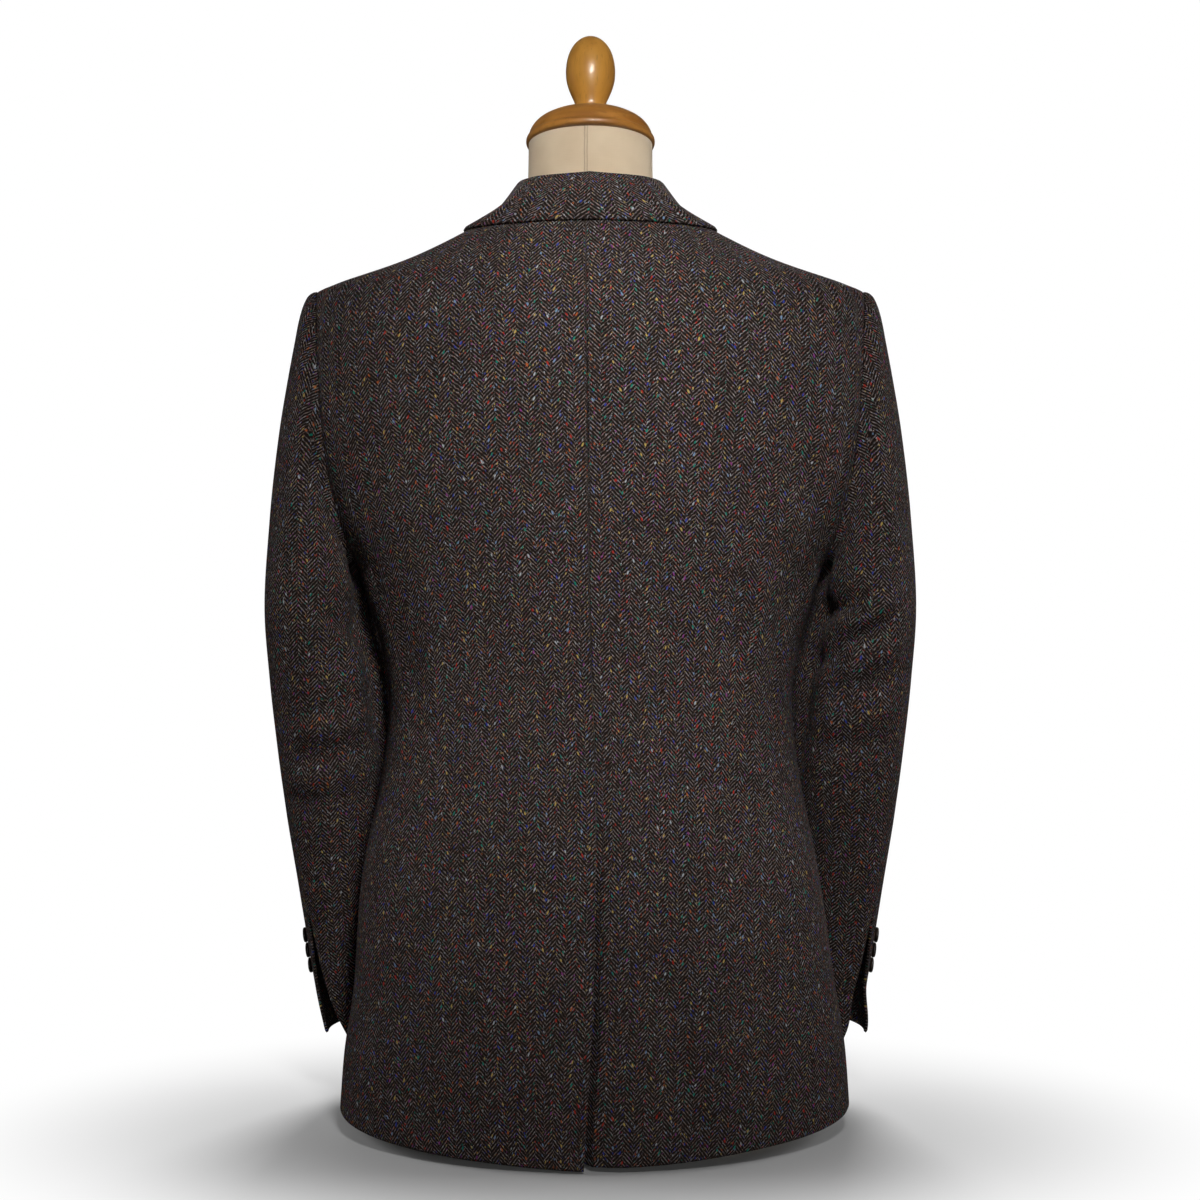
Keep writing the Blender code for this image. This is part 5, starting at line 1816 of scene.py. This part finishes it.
class Sleeve:
    """The sleeve as a surface over an angle and a distance down its outer side."""

    FIRST_ANGLE = -124.0
    LAST_ANGLE = 252.0

    def __init__(self) -> None:
        """Draw a line down the sleeve at each whole degree."""
        self.angles = np.arange(self.FIRST_ANGLE, self.LAST_ANGLE + 1.0)
        self.stations = running_length(self.lines(np.zeros(1)), 1)[0]
        self.track = Track(self.stations, np.swapaxes(self.lines(self.angles), 0, 1))

    def oval(self, ring: Sequence[float], angle: Array) -> Array:
        """Points of a level ring.

        Args:
            ring: its row of the table.
            angle: in degrees; 0 is the outer side and 90 the back.

        Returns:
            The points.
        """
        height, outer, depth, across, along, degrees = ring
        turn = math.radians(degrees)
        reach = math.hypot(across * math.cos(turn), along * math.sin(turn))
        first = np.array((math.cos(turn), -math.sin(turn), 0.0)) * across
        second = np.array((math.sin(turn), math.cos(turn), 0.0)) * along
        radians = np.radians(angle)[:, None]
        return np.array((outer - reach, depth, height)) + first * np.cos(radians) + second * np.sin(radians)

    def lines(self, angle: Array) -> Array:
        """Draw lines down the sleeve: the head, the blend and the level rings.

        Args:
            angle: of each line.

        Returns:
            A row of points for each line.
        """
        root = JACKET.point(*armhole_spot(angle % 360.0))
        cosine = np.cos(np.radians(angle))
        sine = np.sin(np.radians(angle))
        zero = np.zeros_like(sine)
        out = np.array((1.0, 0.0, 0.0))
        spread_out = np.stack((zero, sine, cosine), axis=-1)
        reach_share = (0.25 + 0.375 * (1.0 + cosine))[:, None]
        rise_share = ((0.5 * (1.0 + cosine)) ** 1.5)[:, None]
        drop_share = (np.maximum(0.0, cosine) ** 2)[:, None]
        line = [root + out * 0.00006 - spread_out * 0.0001]
        for reach, rise, drop in HEAD_ROWS:
            line.append(root + out * (reach * reach_share) + spread_out * (rise * rise_share)
                        - UP * (drop * drop_share))
        head = line[-1]
        first = self.oval(SLEEVE_RINGS[0], angle)
        around = np.stack((cosine, sine, zero), axis=-1)
        for share in HEAD_BLEND:
            bulge = (HEAD_FULLNESS * math.sin(math.pi * share) * (1.5 + 0.5 * cosine))[:, None]
            line.append(head + (first - head) * share + around * bulge)
        line += [self.oval(ring, angle) for ring in SLEEVE_RINGS]
        return np.stack(line, axis=1)

    def point(self, angle: Array, station: Array) -> Array:
        """Points of the surface.

        Args:
            angle: rows of angles.
            station: of each row, down the outer side.

        Returns:
            The points.
        """
        rings = self.track.at(station)
        place = np.clip(angle - self.FIRST_ANGLE, 0.0, len(self.angles) - 1.001)
        low = np.floor(place).astype(int)
        share = (place - low)[..., None]
        row = np.arange(len(station))[:, None]
        return rings[row, low] * (1.0 - share) + rings[row, low + 1] * share

    def middle(self, station: Array) -> Array:
        """A point in the middle of the sleeve for each station."""
        return np.mean(self.track.at(station)[:, ::10], axis=1)


@dataclass
class Sleeves:
    """The two-piece sleeves, each with an open vent at its cuff."""

    finish: Material
    sleeve: Sleeve = field(default_factory=Sleeve)
    step: float = 0.0042
    width: float = 0.165  # roughly, as the columns are spaced
    head_rows: int = 15
    head: Pair = (0.020, 0.110)  # how far down the weave turns in over the shoulder
    elbow: Pair = (0.26, 0.42)  # heights between which the weave bends forwards

    def panel(self, is_top: bool, side: float) -> Cloth:
        """Make the top sleeve or the under sleeve of one arm.

        Args:
            is_top: the top one.
            side: 1 for the left arm, -1 for the right.

        Returns:
            The piece.
        """
        sleeve = self.sleeve
        length = sleeve.stations[-1]
        start = sleeve.stations[len(HEAD_ROWS)]
        head = np.linspace(0.0, start, self.head_rows)
        rest = start + spread(length - start, self.step)[3:] * (length - start)
        stations = np.concatenate((head, rest))
        heights = sleeve.point(np.full((len(stations), 1), 70.0), stations)[:, 0, 2]
        seam = Track(*zip(*HIND_SEAM)).at(heights)
        gape = Track([row[0] for row in VENT_GAPE], [row[1:] for row in VENT_GAPE]).at(heights)
        if is_top:
            starts, ends = np.full(seam.shape, FOREARM_SEAM), seam - gape[:, 0]
        else:
            starts, ends = seam + gape[:, 1], np.full(seam.shape, 360.0 + FOREARM_SEAM)
        angles = starts[:, None] + (ends - starts)[:, None] * spread(self.width, self.step)
        points = sleeve.point(angles, stations)
        middle = sleeve.middle(stations)
        name = f"{'top' if is_top else 'under'}_sleeve_{SIDE_NAMES[side]}"
        borders = (Border.SOFT, Border.HEM, Border.SOFT, Border.SOFT)
        cloth = Cloth(name, points, borders, middle[:, None])
        upper = unit(middle[12] - middle[len(middle) // 2])
        lower = unit(middle[len(middle) * 2 // 3] - middle[-1])
        bend = 1.0 - ease(points[..., 2], *self.elbow)[..., None]
        over = 1.0 - ease(stations, *self.head)[:, None, None]
        grain = unit(upper + (lower - upper) * bend) + over * np.array((-0.4, 0.0, 0.0))
        cloth.lay_weave(grain, int(np.argmin(np.abs(angles[len(angles) // 2]))) if is_top else None)
        around = np.radians(angles) * ARM_RADIUS
        cloth.settle(sum(crease.rise(around, points[..., 2]) for crease in SLEEVE_CREASES[side]), side)
        flare = 1.0 - ease(cloth.points[..., 2], CUFF, FLARE_START)
        cloth.points[..., 0] += side * CUFF_FLARE[side] * flare
        cloth.find_normals()
        return cloth

    def build(self) -> None:
        """Make the four panels."""
        for side, word in SIDE_NAMES.items():
            for is_top in (True, False):
                hand_over(self.panel(is_top, side), self.finish)


# --- pockets -------------------------------------------------------------------------------------


@dataclass
class Pockets:
    """The slanted flaps and the welts above them."""

    finish: Material
    front_corner: Pair = (0.1020, 0.238)  # x and height
    back_corner: Pair = (0.1690, 0.212)
    depth: float = 0.050
    corner: float = 0.010
    corner_share: float = 0.12
    jet_width: float = 0.006
    seat: float = 0.0006
    width: float = 0.070  # roughly, as the columns are spaced
    flap_step: float = 0.0030
    jet_steps: Pair = (0.0040, 0.0015)  # between columns, between rows

    def laid(self, kind: str, side: float, across: Array, offset: Array, lift: Array, grain: Array) -> Cloth:
        """Lay a piece on the front.

        Args:
            kind: what comes before the side in its name.
            side: 1 for the left, -1 for the right.
            across: shares of the pocket's width, as a row.
            offset: heights over its upper edge, for each point.
            lift: how far each point stands off.
            grain: the direction of the warp.

        Returns:
            The piece.
        """
        run = np.subtract(self.back_corner, self.front_corner)
        x = self.front_corner[0] + run[0] * across
        z = self.front_corner[1] + run[1] * across + offset
        points = JACKET.point(*JACKET.spot_in_front(x, z))
        borders = (Border.NONE, Border.HEM, Border.HEM, Border.HEM)
        cloth = Cloth(f"{kind}_{SIDE_NAMES[side]}", points, borders)
        cloth.lay_weave(grain)
        return cloth.settle(CLOTH + LYING_GAP + lift, side, True)

    def flap(self, side: float) -> Cloth:
        """Make a flap with rounded lower corners that stands off a little at its lower edge.

        Args:
            side: 1 for the left, -1 for the right.

        Returns:
            The piece.
        """
        across = spread(self.width, self.flap_step)[None, :]
        down = spread(self.depth, self.flap_step)[:, None]
        end = np.minimum(across, 1.0 - across) / self.corner_share
        rise = self.corner * np.maximum(0.0, 1.0 - end) ** 2
        offset = -(self.depth - rise) * down
        lift = 0.0009 * down**2 * (1.0 + 0.8 * np.sin(across * 5.0)) - 0.0006 * (1.0 - ease(down, 0.0, 0.06))
        return self.laid("pocket_flap", side, across, offset, lift, UP)

    def jet(self, side: float) -> Cloth:
        """Make the narrow welt above the flap.

        Args:
            side: 1 for the left, -1 for the right.

        Returns:
            The piece.
        """
        across = spread(self.width, self.jet_steps[0])[None, :]
        up = spread(self.jet_width, self.jet_steps[1])[:, None]
        offset = self.jet_width * (1.0 - up) + self.seat
        run = np.subtract(self.back_corner, self.front_corner)
        slanted = np.array((-run[1], 0.0, run[0]))
        return self.laid("pocket_jet", side, across, offset, 0.0005 * np.sin(math.pi * up), slanted)

    def build(self) -> None:
        """Make the four pieces."""
        for side, word in SIDE_NAMES.items():
            hand_over(self.flap(side), self.finish)
            hand_over(self.jet(side), self.finish)


# --- hard pieces ---------------------------------------------------------------------------------


SLEEVE_X = 0.2  # a button further out than this is a sleeve's


def seat_of(node: str) -> tuple[Vector, Vector]:
    """Find where a flat round solid sits.

    Args:
        node: its name.

    Returns:
        The middle of its lower face, and its axis, pointing away from the garment.
    """
    points = np.array([vertex.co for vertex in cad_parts[node].data.vertices])
    points = np.unique(points.round(6), axis=0)
    centre = points.mean(axis=0)
    axis = np.linalg.svd(points - centre, full_matrices=False)[2][2]
    outwards = centre * LEVEL
    if abs(centre[0]) > SLEEVE_X:
        outwards = np.array((math.copysign(1.0, centre[0]), 0.0, 0.0))
    axis = axis * math.copysign(1.0, float(np.dot(axis, outwards)))
    reach = (points - centre) @ axis
    return Vector(centre + axis * reach.min()), Vector(axis)


def placed(base: Vector, axis: Vector) -> Matrix:
    """The matrix that stands a piece made at the origin on a base, along an axis."""
    turn = Vector(UP).rotation_difference(axis).to_matrix().to_4x4()
    return Matrix.Translation(base) @ turn


def turned(mesh: BMesh, profile: Sequence[Pair], steps: int, fineness: float) -> None:
    """Spin a profile of radius and height about Z, smoothed through its points.

    Args:
        mesh: what the surface is added to.
        profile: from the middle of the bottom to the middle of the top.
        steps: round the axis.
        fineness: the distance between points of the smoothed profile.
    """
    corners = np.array(profile)
    run = np.concatenate(((0.0,), np.cumsum(np.linalg.norm(np.diff(corners, axis=0), axis=1))))
    smooth = Track(run, corners).at(np.linspace(0.0, run[-1], max(8, round(run[-1] / fineness))))
    smooth[0, 0] = smooth[-1, 0] = 0.0
    vertices = [mesh.verts.new((max(radius, 0.0), 0.0, height)) for radius, height in smooth]
    edges = [mesh.edges.new(pair) for pair in zip(vertices[:-1], vertices[1:])]
    bmesh.ops.spin(mesh, geom=vertices + edges, cent=(0.0, 0.0, 0.0), axis=(0.0, 0.0, 1.0),
                   angle=math.tau, steps=steps, use_merge=True)
    bmesh.ops.remove_doubles(mesh, verts=mesh.verts[:], dist=1e-7)
    bmesh.ops.recalc_face_normals(mesh, faces=mesh.faces[:])


def hard_piece(name: str, mesh: BMesh, finishes: Sequence[Material],
               sharp: float = 50.0) -> None:
    """Turn a bmesh into a piece that rides on the root in place of its solid.

    Args:
        name: of the piece and of its solid.
        mesh: its shape.
        finishes: its materials.
        sharp: edges with a greater angle than this, in degrees, stay crisp.
    """
    data = mesh_data(name, mesh)
    data.shade_smooth()
    data.set_sharp_from_angle(angle=math.radians(sharp))
    piece = linked(name, data)
    for finish in finishes:
        data.materials.append(finish)
    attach(piece, "root")
    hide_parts(name)
    LOG.info("%s: %d faces", name, len(data.polygons))


@dataclass
class Buttons:
    """Four-hole horn buttons, sewn on with thread."""

    horn: Material
    thread: Material
    thickness: float = 0.0030
    hole: float = 0.00085
    hole_share: float = 0.095  # of the diameter, from the middle to a hole's row
    hole_segments: int = 14
    segments: int = 48
    fineness: float = 0.0005  # of the turned outline
    front_diameter: float = 0.020
    sleeve_diameter: float = 0.0134
    strands: Triple = (-0.00032, 0.0, 0.00032)  # beside each other in one stitch
    strand_size: Pair = (0.00022, 0.00042)  # half of its width and of its height
    strand_depth: float = 0.0010  # of its middle below the rim

    def profile(self, radius: float) -> tuple[Pair, ...]:
        """Draw the turned outline, with a raised rim round a dish.

        Args:
            radius: of the button.

        Returns:
            Radii and heights.
        """
        top = self.thickness
        return (
            (0.0, 0.0002),
            (radius * 0.55, 0.0),
            (radius * 0.86, 0.0003),
            (radius * 0.975, 0.0009),
            (radius, 0.0015),
            (radius * 0.985, 0.0023),
            (radius * 0.93, top - 0.0001),
            (radius * 0.86, top),
            (radius * 0.78, top - 0.0002),
            (radius * 0.70, top - 0.0008),
            (radius * 0.50, top - 0.0010),
            (0.0, top - 0.0011),
        )

    def pierced(self, diameter: float) -> bpy.types.Mesh:
        """Make the button's mesh, with its holes cut.

        Args:
            diameter: of the button.

        Returns:
            The mesh.
        """
        solid = bmesh.new()
        turned(solid, self.profile(0.5 * diameter), self.segments, self.fineness)
        blank = linked("button_blank", mesh_data("button_blank", solid))
        reach = self.hole_share * diameter
        drills = bmesh.new()
        for x in (-reach, reach):
            for y in (-reach, reach):
                made = bmesh.ops.create_cone(drills, cap_ends=True, segments=self.hole_segments,
                                             radius1=self.hole, radius2=self.hole, depth=4.0 * self.thickness)
                bmesh.ops.translate(drills, verts=made["verts"], vec=(x, y, 0.0))
        drill = linked("button_drill", mesh_data("button_drill", drills))
        cut = blank.modifiers.new("holes", "BOOLEAN")
        cut.object = drill
        cut.operation = "DIFFERENCE"
        bpy.context.view_layer.update()
        pierced = bpy.data.meshes.new_from_object(blank.evaluated_get(bpy.context.evaluated_depsgraph_get()))
        bpy.data.objects.remove(blank)
        bpy.data.objects.remove(drill)
        return pierced

    def sew(self, mesh: BMesh, diameter: float) -> None:
        """Add the strands between the holes.

        Args:
            mesh: of the pierced button.
            diameter: of the button.
        """
        reach = self.hole_share * diameter
        size = (reach + self.hole * 0.7, *self.strand_size)
        start = len(mesh.faces)
        for y in (-reach, reach):
            for shift in self.strands:
                strand = bmesh.ops.create_icosphere(mesh, subdivisions=2, radius=1.0)["verts"]
                bmesh.ops.scale(mesh, vec=size, verts=strand)
                place = (0.0, y + shift, self.thickness - self.strand_depth)
                bmesh.ops.translate(mesh, vec=place, verts=strand)
        mesh.faces.ensure_lookup_table()
        for face in mesh.faces[start:]:
            face.material_index = 1

    def build(self) -> None:
        """Make one button in place of each button solid."""
        blanks: dict[float, bpy.types.Mesh] = {}
        for name in sorted(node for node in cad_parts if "button" in node):
            diameter = self.front_diameter if name.startswith("front") else self.sleeve_diameter
            if diameter not in blanks:
                blanks[diameter] = self.pierced(diameter)
            mesh = bmesh.new()
            mesh.from_mesh(blanks[diameter])
            self.sew(mesh, diameter)
            base, axis = seat_of(name)
            bmesh.ops.transform(mesh, matrix=placed(base, axis), verts=mesh.verts[:])
            hard_piece(name, mesh, (self.horn, self.thread), 40.0)


@dataclass
class Stand:
    """The dress form, its neck cap and its finial."""

    cover: Material
    cap_wood: Material
    finial_wood: Material
    columns: int = 96
    level_step: float = 0.0065
    fineness: float = 0.0007  # of the turned pieces
    foot_levels: Triple = (0.0, 0.003, 0.008)
    cap_height: float = 0.0307
    seat: float = 0.0003  # the gap under the cap and under the finial

    CAP = (
        (0.0, 0.0), (0.0460, 0.0), (0.0512, 0.0), (0.0534, 0.0005), (0.0545, 0.0018), (0.0548, 0.0036),
        (0.0547, 0.0052), (0.0543, 0.0064), (0.0537, 0.0071), (0.0531, 0.0078), (0.0527, 0.0090),
        (0.0520, 0.0120), (0.0500, 0.0165), (0.0464, 0.0212), (0.0400, 0.0258), (0.0318, 0.0297),
        (0.0230, 0.0327), (0.0150, 0.0345), (0.0144, 0.0349), (0.0138, 0.0352), (0.0, 0.0352),
    )
    FINIAL = (
        (0.0, 0.0), (0.0120, 0.0), (0.0134, 0.0004), (0.0136, 0.0010), (0.0131, 0.0016), (0.0128, 0.0026),
        (0.0129, 0.0046), (0.0139, 0.0084), (0.0158, 0.0128), (0.0180, 0.0180), (0.0197, 0.0232),
        (0.0208, 0.0288), (0.0211, 0.0350), (0.0206, 0.0413), (0.0190, 0.0484), (0.0168, 0.0538),
        (0.0134, 0.0588), (0.0082, 0.0632), (0.0040, 0.0650), (0.0, 0.0656),
    )

    def form(self) -> None:
        """The torso and neck: a round face drawn up through the rings."""
        mesh = bmesh.new()
        layer = mesh.verts.layers.int.new("column")
        bmesh.ops.create_circle(mesh, cap_ends=True, segments=self.columns, radius=1.0)
        for vertex in mesh.verts:
            turn = math.atan2(vertex.co.x, vertex.co.y) / math.tau
            vertex[layer] = round(turn * self.columns) % self.columns
        angles = np.arange(self.columns) * 360.0 / self.columns

        def settle(vertices: Sequence[bmesh.types.BMVert], level: float) -> None:
            """Put vertices in their places on the ring at a level.

            Args:
                vertices: one for each column.
                level: of the ring.
            """
            ring = FORM.point(angles, np.full(angles.shape, level))
            for vertex in vertices:
                vertex.co = Vector(ring[vertex[layer]])

        *foot, start = self.foot_levels
        count = round((NECK_TOP - start) / self.level_step)
        levels = np.concatenate((foot, np.linspace(start, NECK_TOP, count)))
        settle(mesh.verts, levels[0])
        top = mesh.faces[:]
        for number, level in enumerate(levels[1:]):
            grown = bmesh.ops.extrude_face_region(mesh, geom=top)["geom"]
            settle([item for item in grown if isinstance(item, bmesh.types.BMVert)], level)
            if number:
                bmesh.ops.delete(mesh, geom=top, context="FACES_ONLY")
            top = [item for item in grown if isinstance(item, bmesh.types.BMFace)]
        bmesh.ops.recalc_face_normals(mesh, faces=mesh.faces[:])
        bmesh.ops.translate(mesh, vec=DEPTH_SHIFT, verts=mesh.verts[:])
        hard_piece("dress_form", mesh, (self.cover,))

    def topping(self, name: str, profile: Sequence[Pair], finish: Material,
                base: float, height: float) -> None:
        """Make a turned piece in place of its solid.

        Args:
            name: of the piece.
            profile: its radii and heights.
            finish: its material.
            base: its foot's distance from the leaning top of the neck.
            height: what its own height is brought to.
        """
        mesh = bmesh.new()
        turned(mesh, profile, self.columns, self.fineness)
        bmesh.ops.scale(mesh, vec=(1.0, 1.0, height / profile[-1][1]), verts=mesh.verts[:])
        back, front = FORM.point(np.array((0.0, 180.0)), np.full(2, NECK_TOP))
        axis = unit(np.cross(np.array((1.0, 0.0, 0.0)), back - front))
        foot = 0.5 * (back + front) + axis * base + DEPTH_SHIFT
        bmesh.ops.transform(mesh, matrix=placed(Vector(foot), Vector(axis)), verts=mesh.verts[:])
        hard_piece(name, mesh, (finish,))

    def build(self) -> None:
        """Make the three pieces."""
        self.form()
        over_cap = self.cap_height + 2.0 * self.seat
        self.topping("neck_cap", self.CAP, self.cap_wood, self.seat, self.cap_height)
        self.topping("finial", self.FINIAL, self.finial_wood, over_cap, self.FINIAL[-1][1])


# --- the studio ----------------------------------------------------------------------------------


WHITE = (1.0, 1.0, 1.0, 1.0)


@dataclass(frozen=True)
class Lamp:
    """A soft box."""

    name: str
    place: Triple
    size: Pair
    power: float
    spread: float = 180.0  # of its light, in degrees
    height: float = 0.60  # the level on the jacket's axis that it faces
    shines: bool = True  # in glossy surfaces

    def hang(self) -> None:
        """Put it into the scene."""
        data = bpy.data.lights.new(self.name, "AREA")
        data.shape = "RECTANGLE"
        data.size, data.size_y = self.size
        data.energy = self.power
        data.spread = math.radians(self.spread)
        lamp = linked(self.name, data)
        lamp.location = self.place
        aim = Vector((0.0, 0.0, self.height)) - Vector(self.place)
        lamp.rotation_euler = aim.to_track_quat("-Z", "Y").to_euler()
        lamp.visible_glossy = self.shines


@dataclass
class Studio:
    """A pale floor, soft lights and the camera."""

    camera_place: Triple = (-0.0081, 1.50635, 0.446)
    focal_length: float = 52.95  # millimetres on the sensor
    sensor_width: float = 36.0
    floor_radius: float = 14.0
    floor_drop: float = 0.0004
    floor_fade: Pair = (0.13, 0.36)  # distances between which the floor turns white
    ambient: float = 0.02

    LAMPS = (
        Lamp("key", (-0.18, 1.18, 1.20), (0.25, 0.25), 0.78, 41.0, 0.46),
        Lamp("low_key", (-0.42, 1.70, 0.40), (0.30, 0.30), 0.14, 34.0, 0.13),
        Lamp("fill", (-0.35, 2.3, 0.40), (0.8, 0.8), 2.2),
        Lamp("neck_light", (-0.10, 1.60, 1.30), (0.20, 0.40), 0.17, 12.0, 0.93),
        Lamp("front_key", (-0.3, -1.9, 1.75), (1.1, 0.9), 40.0, shines=False),
        Lamp("front_fill", (0.6, -2.6, 0.8), (1.2, 1.2), 9.0, shines=False),
        Lamp("left_side", (2.3, -0.25, 1.2), (1.0, 1.0), 13.0, shines=False),
        Lamp("right_side", (-2.3, -0.25, 1.2), (1.0, 1.0), 13.0, shines=False),
    )

    def floor(self) -> None:
        """Lay a pale disc that turns into the white surround with distance."""
        mesh = bmesh.new()
        bmesh.ops.create_circle(mesh, cap_ends=True, segments=64, radius=self.floor_radius)
        bmesh.ops.translate(mesh, verts=mesh.verts[:], vec=(0.0, 0.0, -self.floor_drop))
        floor = linked("floor", mesh_data("floor", mesh))
        shader = Shader("pale_floor")
        x, y, _ = shader.apart(shader.here())
        distance = (x * x * 0.4 + y * y).math("SQRT")
        seen = shader.node("ShaderNodeLightPath").outputs["Is Camera Ray"]
        fade = distance.step(*self.floor_fade) * Value(shader, seen)
        floor.data.materials.append(shader.finished({
            "Base Color": shader.mix(seen, (0.06, 0.06, 0.06), (0.90, 0.90, 0.90)),
            "Roughness": 0.9,
            "Specular IOR Level": 0.1,
        }))
        glow = shader.node("ShaderNodeEmission", {"Color": WHITE, "Strength": 1.0}).outputs[0]
        mixed = shader.node("ShaderNodeMixShader", {0: fade, 1: shader.surface.outputs[0], 2: glow})
        shader.feed(shader.tree.nodes["Material Output"], {0: mixed.outputs[0]})

    def surround(self) -> None:
        """Make a white surround that lights the object less than it shows."""
        world = bpy.data.worlds.new("studio")
        bpy.context.scene.world = world
        world.use_nodes = True
        nodes, links = world.node_tree.nodes, world.node_tree.links
        nodes.clear()
        mixed = nodes.new("ShaderNodeMixShader")
        links.new(nodes.new("ShaderNodeLightPath").outputs["Is Camera Ray"], mixed.inputs[0])
        for number, strength in ((1, self.ambient), (2, 1.0)):
            background = nodes.new("ShaderNodeBackground")
            background.inputs[0].default_value = WHITE
            background.inputs[1].default_value = strength
            links.new(background.outputs[0], mixed.inputs[number])
        links.new(mixed.outputs[0], nodes.new("ShaderNodeOutputWorld").inputs[0])

    def camera(self) -> None:
        """Put up the camera, level, behind the wearer."""
        data = bpy.data.cameras.new("camera")
        data.lens = self.focal_length
        data.sensor_width = self.sensor_width
        data.clip_start = 0.05
        camera = linked("camera", data)
        camera.location = self.camera_place
        camera.rotation_euler = (math.radians(90.0), 0.0, math.radians(180.0))
        bpy.context.scene.camera = camera

    def build(self) -> None:
        """Set up the studio."""
        bpy.context.scene.view_settings.view_transform = "Standard"
        self.camera()
        self.floor()
        self.surround()
        for lamp in self.LAMPS:
            lamp.hang()


def main() -> None:
    """Build the whole, piece by piece."""
    logging.basicConfig(level=logging.INFO, format="%(name)s: %(message)s")
    tweed = Tweed("herringbone_tweed").material()
    Studio().build()
    Stand(
        Cotton("cream_cotton").material(),
        Wood("cap_wood", (0.47, 0.205, 0.040), (0.31, 0.120, 0.020), Grain.ACROSS, 0.3).material(),
        Wood("finial_wood", (0.60, 0.285, 0.048), (0.44, 0.190, 0.028), Grain.UPRIGHT, 0.55).material(),
    ).build()
    Body(tweed).build()
    Lapels(tweed).build()
    Collar(tweed).build()
    Sleeves(tweed).build()
    Pockets(tweed).build()
    Buttons(Horn("dark_horn").material(), Thread("button_thread").material()).build()


if __name__ == "__main__":
    main()
